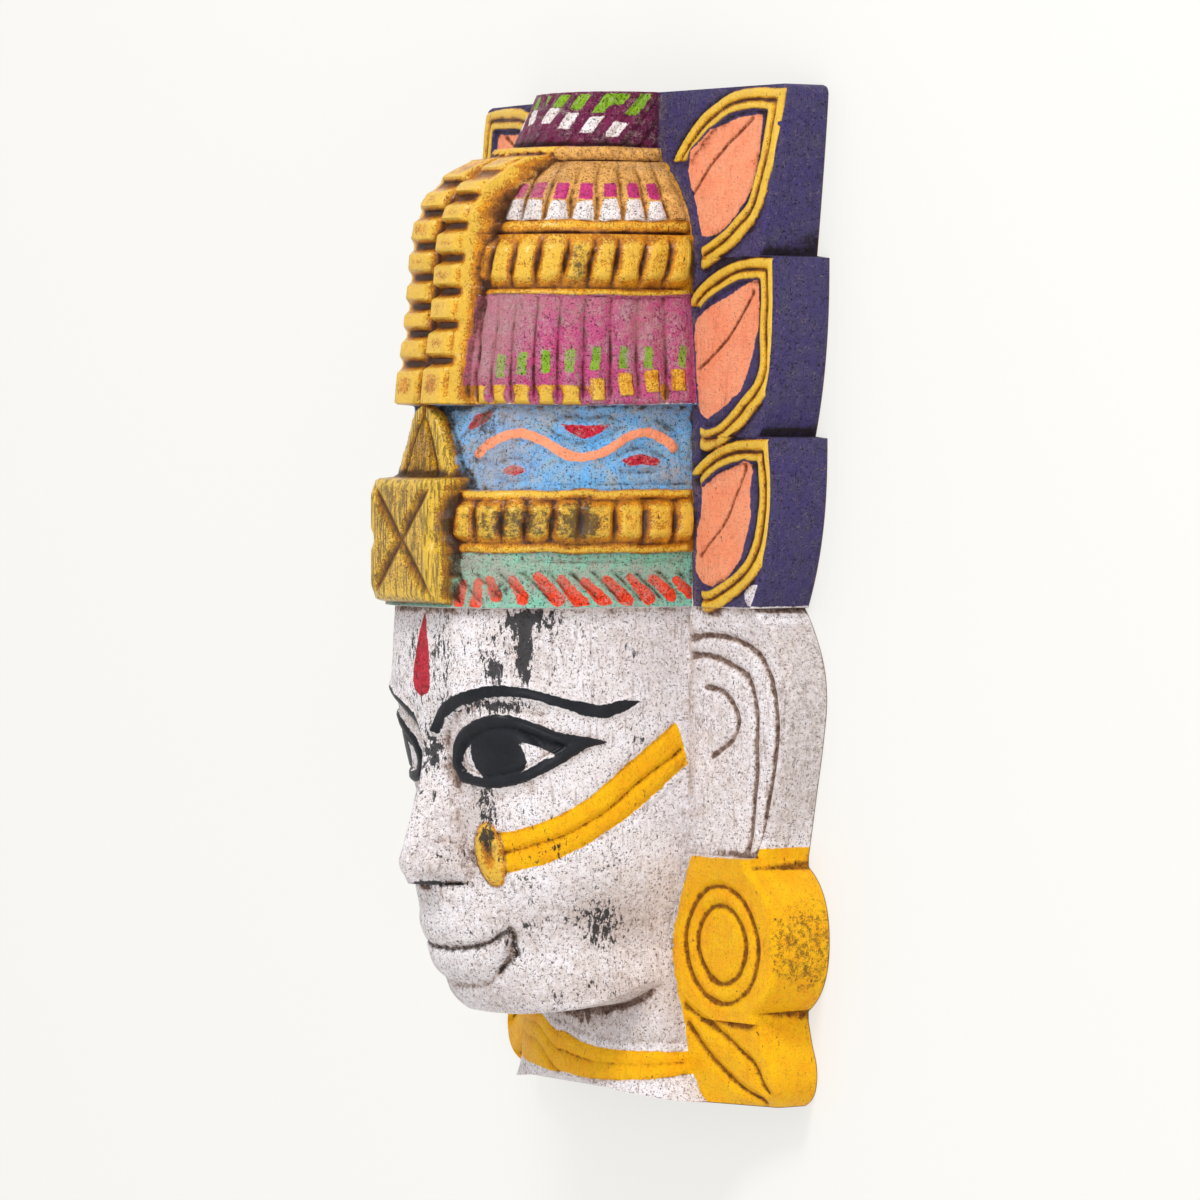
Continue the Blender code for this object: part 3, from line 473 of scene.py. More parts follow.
def blue_band_cuts(along, up):
    """The wave and the shallow gouges of the blue band."""
    relief = 1.1 * hump(distance(along, up, path(WAVE)), 2.6)
    for gouge in BLUE_GOUGES:
        part = (along - gouge[0][0]) / (gouge[-1][0] - gouge[0][0])
        taper = 0.25 + 0.75 * hump(2.0 * part - 1.0, 1.1)
        relief -= 1.5 * taper * notch(distance(along, up, path(gouge)), 0.6 + 2.4 * taper)
    relief -= 0.8 * notch(up - 51.0, 1.4) * ease((along - 64.0) / 8.0)
    return relief


print("pleats a side:", int(np.sum(PLEAT_LINES < 1.0)))

# %% [markdown]
# ## Carving of the face
#
# The face is a stylised one: raised brows, rimmed almond eyes, a stud beside the nose, a cheek band
# cut into strips, and closed lips. The lines are drawn through a few points on the unrolled
# surface, as distance from the middle line and height, so they bend round the head by themselves.

# %% Brow, eye, stud, cheek band and lips
EYE_UPPER = ((12.5, -76), (16, -66.5), (28, -58), (38.5, -54), (48, -52.8), (56, -55), (63.3, -58),
             (72.5, -61.5), (83, -63), (92, -65.5))
EYE_LOWER = ((83.3, -67), (73.2, -71.5), (61.2, -78.3), (51.2, -82.8), (40.6, -85.1), (28.8, -85.4),
             (17, -83.8))
EYE_BALL = (41.0, -71.0)
BROW = ((5.5, -60.5), (16.5, -51), (29.5, -46), (41.7, -42.5), (50.6, -42), (62, -43), (75, -47),
        (84.3, -50), (94.5, -51.5), (106.6, -48.5), (114, -47.5))
SOCKET_CUTS = (((9, -66), (25, -52), (45, -48), (66, -53)), ((9, -78), (15, -88), (31, -91), (54, -87)))
CHEEK_BAND_TOP = ((37.7, -106.5), (46.2, -105.2), (57.4, -102.3), (77.9, -92.5), (89.8, -83.7),
                  (111.7, -68.5), (131, -58))
CHEEK_BAND_MIDDLE = ((40, -115), (51.2, -112.3), (66.3, -108.3), (82.3, -100.6), (94.2, -92.8),
                     (106.2, -83.4), (131, -69.3))
CHEEK_BAND_FOOT = ((40.2, -124), (50.6, -121.6), (65.7, -117.3), (81.8, -109.7), (93.9, -102.4),
                   (106.7, -93.7), (131, -76))
CHEEK_BAND_LAST = ((86, -109.5), (98, -103.5), (110, -95.5), (131, -82))
CHEEK_BAND_CUTS = (
    # each line and its depth as a share of a groove's
    (CHEEK_BAND_TOP, 0.6), (CHEEK_BAND_MIDDLE, 1.0), (CHEEK_BAND_FOOT, 0.6), (CHEEK_BAND_LAST, 0.5),
)
CHEEK_BAND_END = 131.5
STUD_CENTRE = (33.5, -116.0)
STUD_HALF = (7.3, 14.5)
MOUTH_LINE = ((0, -160.4), (8.3, -160.4), (17.8, -159.3), (29.2, -156.3), (36.6, -151))
MOUTH_CORNER = ((38, -150), (37.5, -161), (28, -169.5))
LIP_FOOT = ((0, -177), (7.5, -177.4), (12.5, -176.6), (17.9, -174.5), (28.5, -167.3), (35.5, -160.5),
            (38, -153))


def face_relief(along, up):
    """The brow, the rimmed eye in its socket, the cheek band and the stud."""
    relief = 1.2 * hump(distance(along, up, path(BROW)), 3.6)

    eye = np.vstack([path(EYE_UPPER), path(EYE_LOWER)])
    lid = inside(along, up, eye)
    relief += 2.0 * ease((lid + 1.0) / 2.5) - 2.4 * ease((lid - 4.0) / 1.8)
    ball = np.hypot((along - EYE_BALL[0]) / 1.3, up - EYE_BALL[1])
    relief += 2.2 * hump(ball, 15.0) * ease((lid - 4.0) / 3.0)
    for cut in SOCKET_CUTS:
        relief -= 1.5 * notch(distance(along, up, path(cut)), 5.5)

    band_end = ease((CHEEK_BAND_END - along) / 1.5)
    for route, depth in CHEEK_BAND_CUTS:
        cut = notch(distance(along, up, path(route)), GROOVE_WIDTH)
        relief -= GROOVE_DEPTH * depth * cut * band_end
    across_stud = along - STUD_CENTRE[0] + 0.1 * (up - STUD_CENTRE[1])
    stud = np.hypot(across_stud / STUD_HALF[0], (up - STUD_CENTRE[1]) / STUD_HALF[1])
    relief += 3.0 * hump(stud, 1.0) - 1.2 * hump(stud, 0.45)
    return relief


NOSE_WING = ((3.2, -126.5), (5.8, -120.5), (7, -115.5), (9.1, -111.5), (12.3, -110.8), (16.8, -113),
             (20.6, -119.5), (21.2, -127.5), (12, -129.5))


def wing_relief(along, up):
    """The wing of the nostril, a low bulge with a cut round it."""
    wing = inside(along, up, path(NOSE_WING))
    return 1.7 * ease(wing / 4.0) - 0.9 * notch(wing + 0.6, 1.4)


def lips_relief(along, up):
    """The mouth's line, the lower lip and the creases at the corner of the mouth."""
    mouth = np.interp(along, *zip(*MOUTH_LINE)) - up
    wide = ease((40.0 - along) / 8.0)
    relief = 0.7 * wide * hump(mouth + 6.0, 8.0)
    lip_reach = np.interp(along, (0, 16, 28, 38), (17.0, 17.0, 12.0, 3.0))
    relief += 2.4 * wide * hump((mouth - 0.5 * lip_reach) / lip_reach, 0.55)
    relief -= 2.2 * wide * notch(mouth, 2.4)
    relief -= 1.8 * notch(distance(along, up, path(LIP_FOOT)), 3.0)
    relief -= 1.6 * notch(distance(along, up, path(MOUTH_CORNER)), 3.5)
    return relief


print("cuts of the cheek band:", len(CHEEK_BAND_CUTS))

# %% [markdown]
# ## Carving of the collar
#
# Three grooves run round the neck, with one more crease under the jaw. They are drawn by the share
# of the row that they have covered, nought in front and one beside the ground, and on one side
# they rise.

# %% Collar and the crease under the jaw
COLLAR_TOP = ((0, -210.5), (0.13, -212), (0.35, -212.5), (0.55, -211), (0.83, -208.5), (1, -207.5))
COLLAR_FOOT = ((0, -230), (0.3, -228), (0.53, -225), (0.73, -222), (1, -217.5))
COLLAR_LINES = ((0.0, 0.8), (0.48, 0.9), (1.0, 1.0))
COLLAR_TURN = 0.4


def collar_edges(share, collar_rise):
    """Heights of the collar's top and foot; it rises on one side of the neck."""
    rise = collar_rise * ease(share / COLLAR_TURN)
    return curve(COLLAR_TOP, share) + rise, curve(COLLAR_FOOT, share) + rise


def collar_cuts(share, up, collar_rise):
    """The crease under the jaw and the grooves of the collar."""
    top, foot = collar_edges(share, collar_rise)
    relief = -GROOVE_DEPTH * 0.8 * notch(up - top - 4.5, GROOVE_WIDTH)
    for part, depth in COLLAR_LINES:
        line = top + part * (foot - top)
        relief -= GROOVE_DEPTH * depth * notch(up - line, GROOVE_WIDTH)
    return relief


print("grooves of the collar:", len(COLLAR_LINES))

# %% [markdown]
# ## Pieces on the middle line
#
# The crest, the petal under it and the square jewel stand out from the crown. Each is raised to its
# own front where that is higher than what lies below. The crest has two rows of cut blocks with a
# groove between them and a lower rail beside each. The nose, the lips and the chin swell out of
# the face, and a slanted line says where the jaw ends and the neck begins.

# %% Crest, petal, jewel, nose, lips and jaw
def stand_boss(out, across, up, surface, half, top, foot):
    """Raise the head to a surface over a block of the given half width."""
    cover = ease((half - across) / WALL_WIDTH + 0.5)
    cover = cover * ease((top - up) / BAND_EDGE + 0.5) * ease((up - foot) / BAND_EDGE + 0.5)
    return out + cover * np.clip(surface - out, 0.0, None)


def crest_surface(across, up, cuts):
    """Front of the crest, with a row of cut blocks on each side of a groove."""
    front = curve(((88, 138.5), (96, 137.8), (121, 134), (144, 131.5), (161, 130), (174, 126.5),
                   (184, 120.5), (193, 110), (199, 97)), up)
    gap = np.min(np.abs(up[..., None] - np.array(cuts)), axis=-1)
    block = ease((gap - 0.8) / 3.2) * ease((np.abs(across) - 0.9) / 2.6)
    block = block * (0.4 + 0.6 * ease((CREST_HALF_WIDTH - 3.6 - np.abs(across)) / 2.2))
    crowned = 0.9 * (1.0 - hump(np.abs(across) - 12.5, 13.0))
    return front - crowned - CREST_BEAD_DEPTH * (1.0 - block)


def petal_half(up):
    """Half width of the petal at a height."""
    return PETAL_HALF_WIDTH * np.clip((PLEAT_FOOT - up) / (PLEAT_FOOT - BLUE_FOOT - 4.0), 0, 1) ** 0.5


def jewel_surface(across, up):
    """Flat front of the jewel with its crossed cuts and rounded edges."""
    middle = 0.5 * (JEWEL_TOP + JEWEL_FOOT)
    tall = 0.5 * (JEWEL_TOP - JEWEL_FOOT)
    from_edge = np.minimum(JEWEL_HALF_WIDTH - np.abs(across), tall - np.abs(up - middle))
    surface = JEWEL_FACE - JEWEL_CORNER_DROP * (1.0 - ease(from_edge / JEWEL_CORNER))
    slope = np.abs(up - middle) - np.abs(across) * tall / JEWEL_HALF_WIDTH
    surface = surface - 2.4 * notch(slope, 6.0)
    waist = notch(up - middle, 5.0) * notch(JEWEL_HALF_WIDTH - np.abs(across), 6.0)
    return surface - 4.5 * waist


NOSE_TOP = -44.0
MUZZLE_FOOT = -193.0


def nose_rise(across, up):
    """How far the broad nose stands out from the face."""
    profile = curve(((-131, 15.5), (-127, 18.0), (-120, 19.8), (-112, 17.8), (-98, 14.2), (-79, 9.4),
                     (-64, 5.2), (-54, 2.0), (NOSE_TOP, 0)), up)
    half = curve(((-131, 24), (-122, 25), (-112, 22), (-100, 18), (-86, 14), (-70, 12), (-46, 14)), up)
    ridge = ease(1.0 - across / half)
    wing = 4.5 * ease(1.0 - np.hypot((across - 16.0) / 9.5, (up + 121.0) / 11.0))
    nostril = ease(1.0 - np.hypot((across - 13.0) / 8.5, (up + 130.5) / 5.0))
    return (profile * ridge + wing - 3.5 * nostril) * (up > NOSE_FOOT)


def muzzle_rise(across, up):
    """How far the upper lip, the lower lip and the chin stand out from the face."""
    profile = curve(((NOSE_FOOT, 8.5), (-141, 6.5), (-149, 7.2), (-156, 6.6), (-163, 4.5), (-169, 3.5),
                     (-176, 1.0), (-183, 1.5), (-187, 1.2), (MUZZLE_FOOT, 0)), up)
    half = curve(((NOSE_FOOT, 25), (-141, 32), (-150, 40), (-160, 42), (-170, 38), (-176, 32),
                  (-183, 28), (MUZZLE_FOOT, 22)), up)
    philtrum = 0.7 * notch(across, 6.0) * ease((up + 152.0) / 8.0)
    return (profile * ease(1.2 - across / half) - philtrum) * (up <= NOSE_FOOT)


def neck_blend(share, up):
    """One on the neck, nought on the face, along the slanted jaw."""
    jaw = curve(((0, CHIN_FOOT), (0.24, -190), (0.35, -189), (0.55, -186), (0.7, -182),
                 (0.83, -176.5), (1, -168)), share)
    return ease((jaw - up) / 4.5)


print("crest blocks:", sum(len(cuts) + 1 for cuts in CREST_CUTS))

# %% [markdown]
# ## Carving of the ground
#
# Feather rims, veins, the two lines of each ear, the rings of the disc and the leaf cut in the
# pendant are all shallow cuts at a distance from a line.

# %% Leaves, ears, discs and pendants
LEAVES = (
    # tip, outer side, foot and inner side of each feather's border
    ((125, 227), (123.5, 200), (113, 170), (93, 156), (70, 148), (44, 168), (48, 195), (63, 214),
     (84, 225.5), (104, 228)),
    ((127.5, 151), (127, 120), (124, 96), (109, 80), (76, 67), (54, 84), (56, 118), (70, 137),
     (90, 148), (108, 151.5)),
    ((126.5, 70.5), (125, 34), (116, 12.5), (96, -1), (76, -6.5), (54, 10), (56, 40), (72, 58.5),
     (88, 67), (106, 70)),
)
LEAF_MOUTHS = ((75.0, 198.0), (75.0, 131.0), (75.0, 55.0))
LEAF_VEINS = (
    ((104, 215), (84, 202), (64, 183)),
    ((112, 137), (94, 118), (73, 103.5)),
    ((107, 58), (93, 37), (73, 18.5)),
)
EAR_RIMS = (
    ((66, -19), (78, -17.4), (92, -19), (103.6, -23.5), (112, -31), (118.4, -42.3), (120, -56),
     (117, -75), (112.6, -95.5), (110.5, -114)),
    ((64.6, -26.5), (76, -27), (91, -31.5), (101, -36.5), (105.8, -46), (106, -65), (104.4, -93),
     (102.6, -113.5)),
)
EAR_HOLLOW = ((74.9, -41), (85, -43), (92.4, -49.5), (94.9, -55.2), (91.5, -63), (79, -71.4))
PENDANT_CUTS = (
    ((62, -187), (79.4, -194.6), (94.9, -202.9), (105.9, -211.1), (111.2, -222)),
    ((64, -195), (73.9, -205.5), (85.5, -215), (96.2, -222.2), (104.8, -226.4)),
)


def ground_relief(across, up):
    """Leaf borders, ear rims, disc rings and pendant cuts."""
    relief = np.zeros_like(across)
    for leaf, (mouth_x, mouth_y) in zip(LEAVES, LEAF_MOUTHS):
        depth_in = inside(across, up, path(leaf + leaf[:1], 48))
        rim = ease((depth_in + 1.2) / 1.6) - 0.85 * ease((depth_in - 8.2) / 1.8)
        rim = 1.7 * rim - 1.3 * notch(depth_in - 4.6, 1.9)
        relief += rim * ease((np.maximum(across - mouth_x, up - mouth_y) + 2.0) / 3.0)
    for vein in LEAF_VEINS:
        relief -= 1.2 * notch(distance(across, up, path(vein)), 2.0)
    for rim in EAR_RIMS:
        relief -= 2.2 * notch(distance(across, up, path(rim)), 3.2)
    relief -= 2.0 * notch(distance(across, up, path(EAR_HOLLOW)), 3.0)
    for radius in RING_RADII:
        relief -= 1.2 * GROOVE_DEPTH * notch(distance(across, up, circle(RING_CENTRE, radius)), 3.3)
    for cut in PENDANT_CUTS:
        relief -= 2.4 * notch(distance(across, up, path(cut)), 4.0)
    return relief


print("feathers a side:", len(LEAVES))

# %% [markdown]
# ## Where each colour goes
#
# The painter followed the carving, with a brush that was not too careful. For each colour a number
# says how far inside its patch a place is, in millimetres, and less than nought outside. The
# numbers are stored on the mesh, and the material turns them into edges with a little wobble.
# Storing distances keeps an edge crisp even where the mesh is coarser than the brush mark.

# %% Names of the colours and a helper for dabs
COLOURS = ("indigo", "coral", "gold", "yellow", "magenta", "maroon", "sky", "teal", "green", "pink",
           "chalk", "vermilion", "crimson", "olive", "straw", "black", "chip")
# layers of wear, and of painted shade
WEAR_AND_SHADE = ("shine", "gilt", "grime", "soot", "dust", "depth", "crease")
PAINTS = COLOURS + WEAR_AND_SHADE
NONE = -9.0


def blank(shape):
    """No paint anywhere yet."""
    layers = {name: np.full(shape, NONE) for name in PAINTS}
    for name in ("grime", "soot", "dust"):
        layers[name] = np.zeros(shape)
    # depth sets how much painted shade the deep corners get; crease weakens the painted shade in fine
    # cuts
    layers["depth"] = np.ones(shape)
    layers["crease"] = np.ones(shape)
    return layers


def dabs(along, up, places, half_along, half_up, lean=0.0, flare=0.0):
    """Short brush dabs with square ends, leaning and flaring towards the foot."""
    best = np.full(along.shape, NONE)
    for a, b in places:
        side = np.abs(along - a - lean * (up - b)) + flare * (up - b)
        best = np.maximum(best, np.minimum(half_along - side, half_up - np.abs(up - b)))
    return best


def between(value, low, high):
    """How far a value is inside a range."""
    return np.minimum(value - low, high - value)


def smudges(along, up, places):
    """Soft spots that add up, each a place, two sizes and a strength."""
    total = np.zeros(along.shape)
    for a, b, wide, tall, strength in places:
        total += strength * np.exp(-((along - a) / wide) ** 2 - ((up - b) / tall) ** 2)
    return total


print("colours:", len(COLOURS))

# %% [markdown]
# ### Paint of the crown
#
# Maroon finial with green and white dabs, pale gold dome with a pink and a white dab at the foot of
# each rib, gold beads, magenta pleats with green dabs and gold feet, a sky-blue band with a coral
# wave and red lenses, and a teal rim with red strokes. The crest, the petal and the jewel are gold.

# %% Dabs, wave and strokes of the crown
FINIAL_GREEN = ((-1.5, 228), (10.4, 227.6), (21.6, 226.5), (33, 225), (40, 228.5), (48.5, 224.5))
FINIAL_WHITE = ((-5, 219), (7.1, 219), (19.2, 216.8), (30.6, 214.8), (43, 212.8))
DOME_RIBS = (0.18, 0.266, 0.348, 0.449, 0.551, 0.656, 0.76, 0.858)
PLEAT_GREEN = ((43.1, 104.5), (52.7, 105.5), (62.9, 106.3), (73.8, 106.7), (85.4, 107.5),
               (99, 107.8), (111.5, 107.8), (129, 108.5))
PLEAT_TIPS = ((36.9, 91), (46.7, 90.5), (57.4, 90), (68.2, 90.5), (80.3, 90.5))
PLEAT_DOTS = ((87, 94), (100, 96), (113, 97), (126.7, 97.5))
STROKE_TOPS = ((32.9, 7.5), (41, 7.5), (46.1, 8.5), (57, 8.5), (68, 9.5), (79, 8.5), (90, 7.5),
               (101.6, 8.5), (113.3, 9.5), (125, 8.5), (137.5, 7.5))
STROKE_FEET = ((31.6, -1.5), (40.4, -2.5), (49.9, 1.5), (62, 0), (78.5, -0.5), (90, -3), (101, -2.5),
               (112.5, -1.5), (124.1, -0.5), (135.8, 0.5), (146, 1.5))
LENSES = (
    ((22.5, 76), (27, 82), (36.5, 84), (33, 78.5), (26, 75)),
    ((66.5, 78.6), (79, 77.4), (90.8, 78.2), (86, 74.3), (79.3, 71.4), (72, 74.4)),
    ((42.5, 57.5), (49, 59.8), (56.5, 57.5), (50.9, 54.6)),
    ((98.5, 62.6), (106, 64.4), (119.5, 62.6), (117, 59.6), (103, 59.2)),
)
# dust, and painted shade under the ledges of the bands and beside the crest and the jewel
CROWN_DUST_AND_SHADE = (
    # each spot's place along the row and height, its two sizes, and its strength
    (36, 118, 20, 28, 1.6), (70, 132, 34, 8, 0.9), (40, 62, 20, 18, 1.5), (60, 84, 40, 6, 0.8),
    (36, 10, 20, 14, 1.3), (120, 84, 20, 8, 0.8), (130, 56, 24, 8, 1.0), (95, 10, 60, 10, 1.1),
    (34, 182, 10, 14, 0.9), (118, 178, 8, 16, 0.6), (80, 196, 40, 5, 0.6), (74, 110, 5, 14, 0.7),
    (106, 122, 5, 16, 0.5), (112, 116, 30, 22, 0.7),
)


def paint_crown(layers, along, share, x, up):
    """Colours of the crown, with the pieces on the middle line."""
    crest = np.minimum(CREST_HALF_WIDTH + 0.6 - x, between(up, PLEAT_FOOT, CREST_TOP + 1.0))
    petal = np.minimum(petal_half(up) + 0.5 - x, between(up, 48.0, PLEAT_FOOT))
    jewel = np.minimum(JEWEL_HALF_WIDTH + 0.8 - x, between(up, JEWEL_FOOT - 0.4, JEWEL_TOP + 0.4))
    rings = between(up, PLEAT_TOP, FINIAL_FOOT + 0.2)
    band = between(up, GOLD_FOOT - 0.2, BLUE_FOOT + 0.2)

    tips = np.full(along.shape, NONE)
    for a, b in PLEAT_TIPS:
        tips = np.maximum(tips, 2.4 - np.hypot(along - a, (up - b) / 1.9))
    hem = np.minimum(between(up, PLEAT_FOOT - 0.2, 95.8), 82.5 - along)
    hem = np.minimum(hem, -tips)
    dots = dabs(along, up, PLEAT_DOTS, 3.4, 5.0)
    drop = 2.4 - np.hypot(along - 119.5, (up - 92.0) / 1.6)
    layers["gold"] = np.maximum.reduce([crest, rings, band, hem, dots, drop])
    layers["olive"] = np.maximum(jewel, petal)
    dome = np.minimum(between(up, DOME_FOOT, FINIAL_FOOT + 0.2), x - CREST_HALF_WIDTH - 0.6)
    heart = np.minimum(petal_half(up) - PETAL_BORDER - x, between(up, 54.0, 90.0))
    layers["straw"] = np.maximum(dome, heart)
    layers["gilt"] = np.minimum(np.maximum(layers["gold"], layers["olive"]), -layers["straw"])
    layers["shine"] = np.maximum.reduce([layers["gold"], layers["olive"], up - PLEAT_FOOT])
    layers["maroon"] = up - FINIAL_FOOT
    layers["magenta"] = between(up, PLEAT_FOOT, PLEAT_TOP)
    layers["sky"] = between(up, BLUE_FOOT, PLEAT_FOOT)
    layers["teal"] = between(up, CROWN_FOOT - 0.2, GOLD_FOOT)
    finial_green = np.minimum(dabs(along, up, FINIAL_GREEN, 3.0, 4.8, 0.35), TOP - 1.2 - up)
    layers["green"] = np.maximum(finial_green, dabs(along, up, PLEAT_GREEN, 2.1, 5.2))
    off_rib = np.min(np.abs(share[..., None] - np.array(DOME_RIBS)), axis=-1) * along / (share + 1e-6)
    beside = along - CREST_HALF_WIDTH - 2.0
    pink = np.minimum.reduce([3.0 - 0.06 * (up - 184.0) - off_rib, between(up, 180.2, 187.0), beside])
    white = np.minimum.reduce([4.3 - 0.2 * (up - 174.5) - off_rib, between(up, 169.9, 179.4), beside])
    layers["pink"] = np.minimum(pink, 60.0 * (0.9 - share))
    layers["chalk"] = np.maximum(dabs(along, up, FINIAL_WHITE, 3.3, 3.6, 0.35), white)
    layers["coral"] = 2.1 - distance(along, up, path(WAVE))
    for lens in LENSES:
        layers["crimson"] = np.maximum(layers["crimson"], inside(along, up, np.array(lens)))
    for (a0, b0), (a1, b1) in zip(STROKE_TOPS, STROKE_FEET):
        stroke = 2.0 + 0.12 * (b0 - up) - distance(along, up, ((a0, b0), (a1, b1)))
        layers["vermilion"] = np.maximum(layers["vermilion"], stroke)
    layers["vermilion"] = np.minimum(layers["vermilion"], up - CROWN_FOOT - 0.6)
    # dust, and painted shade under the ledges and beside the raised pieces
    layers["dust"] = smudges(along, up, CROWN_DUST_AND_SHADE)


print("dabs on the crown:", len(FINIAL_GREEN) + len(FINIAL_WHITE) + 2 * len(DOME_RIBS))

# %% [markdown]
# ### Paint of the face
#
# Black brows, eye rims and pupils, a red drop on the forehead, old gold on the stud and yellow on
# the cheek band. Soft spots mark where the paint has flaked or soot has settled, and a few lay
# painted shade in thin lines under the nose; the material breaks them up into black flecks. Other
# spots hold dust, with painted shade beside the nose and along the jaw, and the mouth's line and
# the creases at its corners are darker.

# %% Eyes, drop, bands and flecks of the face
BROW_PAINT = ((4.3, -60.5), (9, -53.5), (18.4, -47.6), (31.4, -42.3), (43.6, -39.5), (50.7, -39.4),
              (60, -40.4), (74, -44.2), (83.7, -46.8), (93.9, -48.2), (105.7, -46.6), (116, -47.2),
              (107.5, -51.2), (95, -54.7), (84.9, -53.3), (76.1, -49.6), (64, -45.9), (50.5, -44.2),
              (39.8, -45.4), (27.5, -49.3), (14.6, -55), (7.5, -62.5))
EYE_OPENING = ((18.5, -75.5), (21.5, -70.5), (27, -67), (37, -64.4), (48, -64), (56, -66),
               (62, -68.6), (66.5, -71.2), (60, -73.4), (53, -77.4), (46, -80.2), (36, -81.2),
               (27, -81), (21, -79))
PUPIL = (39.5, -72.0, 13.6, 11.6)
DROP_HALF = ((-45.8, 0.0), (-44.5, 3.4), (-41.7, 6.2), (-38, 7.0), (-34.6, 6.9), (-28, 6.1),
             (-22.4, 4.9), (-14, 2.6), (-8, 1.1), (-5.4, 0.3))
DROP_CENTRE = 1.8
# soot and flaked paint, and painted shade in thin lines under the nose
SOOT_AND_SHADE = (
    # each spot's place along the row and height, its two sizes, and its strength
    (60, -8, 12, 5, 1.0), (60, -20, 3.5, 14, 1.2), (61, -33, 3, 7, 1.0), (56, -17, 7, 6, 0.5),
    (44, -30, 4, 9, 0.7), (48, -38, 3, 5, 0.6), (73, -16, 5, 10, 0.5), (14, -26, 5, 18, 0.7),
    (22, -30, 4, 14, 0.5), (-6, -24, 4, 16, 0.6), (40, -48, 12, 3, 0.9), (56, -49, 14, 3, 0.8),
    (4, -72, 6, 10, 1.0), (3, -92, 8, 6, 0.5), (28, -92, 5, 8, 0.9), (34, -99, 3.5, 10, 1.2),
    (76, -152, 8, 12, 0.9), (84, -142, 5, 6, 0.6), (47, -182, 6, 4, 0.6), (66, -172, 8, 5, 0.5),
    (20, -158, 12, 3, 0.6), (107, -64, 5, 6, 0.8), (112, -25, 6, 4, 0.7), (111, -38, 3, 4, 0.6),
    (50, -130, 6, 8, 0.6), (18, -116, 8, 8, 0.5), (36, -160, 4, 8, 0.8), (55, -146, 10, 7, 0.4),
    (8, -136, 8, 6, 0.5), (92, -120, 14, 10, 0.25), (18, -130, 9, 1.6, 1.0), (84, -148, 18, 8, 0.5),
    (56, -118, 22, 10, 0.25), (34, -52, 16, 3, 0.7), (30, -20, 30, 14, 0.35), (66, -112, 5, 4, 0.5),
    (46, -150, 4, 4, 1.0), (22, -152, 10, 1.6, 0.8), (33, -108, 4, 4, 1.1), (80, -180, 30, 6, 0.35),
    (2.5, -131, 3, 1.3, 1.6), (8, -129.5, 3.5, 1.3, 1.4), (48, -33, 5, 5, 1.1), (60, -27, 2.6, 8, 1.2),
    (60, -10, 14, 4, 0.8), (4, -60, 5, 20, 0.6), (33, -84, 3, 5, 1.0), (24, -46, 22, 3, 0.7),
)
# dust, with painted shade beside the nose and along the jaw
FACE_DUST_AND_SHADE = (
    (60, -22, 20, 22, 0.8), (30, -60, 14, 8, 0.8), (26, -98, 12, 12, 1.4), (40, -150, 18, 12, 1.0),
    (84, -146, 22, 14, 1.6), (70, -180, 40, 12, 1.2), (130, -150, 14, 60, 0.7), (128, -30, 14, 30, 0.6),
    (14, -118, 12, 20, 0.9), (104, -20, 20, 10, 0.5), (20, -182, 16, 8, 0.8),
)


def paint_face(layers, along, x, up):
    """Colours of the face; x is less than nought on the far side."""
    eye = inside(along, up, np.vstack([path(EYE_UPPER), path(EYE_LOWER)]))
    opening = inside(along, up, np.array(EYE_OPENING))
    pupil = PUPIL[3] - np.hypot((along - PUPIL[0]) * PUPIL[3] / PUPIL[2], up - PUPIL[1])
    brow = inside(along, up, np.array(BROW_PAINT))
    lids = np.minimum(eye + 0.4, -opening)
    layers["black"] = np.maximum.reduce([brow, lids, np.minimum(pupil, eye - 2.0)])
    drop = curve(DROP_HALF, up) - np.abs(x - DROP_CENTRE)
    layers["crimson"] = np.minimum(drop, between(up, -45.6, -5.2))
    bands = np.vstack([path(CHEEK_BAND_TOP), path(CHEEK_BAND_FOOT)[::-1]])
    band = np.minimum(inside(along, up, bands) + 0.5, CHEEK_BAND_END - along)
    lean = along - STUD_CENTRE[0] + 0.1 * (up - STUD_CENTRE[1])
    half_along, half_up = STUD_HALF[0] + 0.3, STUD_HALF[1] + 0.5
    stud = half_along * (1.0 - np.hypot(lean / half_along, (up - STUD_CENTRE[1]) / half_up))
    layers["yellow"] = np.minimum(band, -stud)
    layers["gold"] = stud
    layers["gilt"] = stud
    # soot and flaked paint, with painted shade in thin lines under the nose
    soot = smudges(np.where(x < 0.0, -along, along), up, SOOT_AND_SHADE)
    layers["soot"] = soot + 0.6 * (x < 0.0) * smudges(along, up, SOOT_AND_SHADE)
    # a little dust everywhere, and spots of dust and painted shade
    layers["dust"] = 0.08 + 0.9 * smudges(along, up, FACE_DUST_AND_SHADE)
    layers["grime"] += smudges(along, up, ((34.5, -112, 3.2, 6, 0.9), (33, -118, 7, 13, 0.35)))
    # darker along the mouth's line and in the creases at its corners
    creases = np.minimum(distance(along, up, path(MOUTH_LINE)), distance(along, up, path(MOUTH_CORNER)))
    layers["grime"] += 1.15 * notch(creases, 2.8)


print("spots of flecks:", len(SOOT_AND_SHADE))

# %% [markdown]
# ### Paint of the neck and the ground
#
# The collar is a yellow band, and on one side the paint reaches lower than its cuts do. The ground
# is indigo behind the crown, with gold rims and coral hearts on its feathers, white on the ears and
# yellow on the earrings and pendants. Where one colour meets the next the edge is ragged.

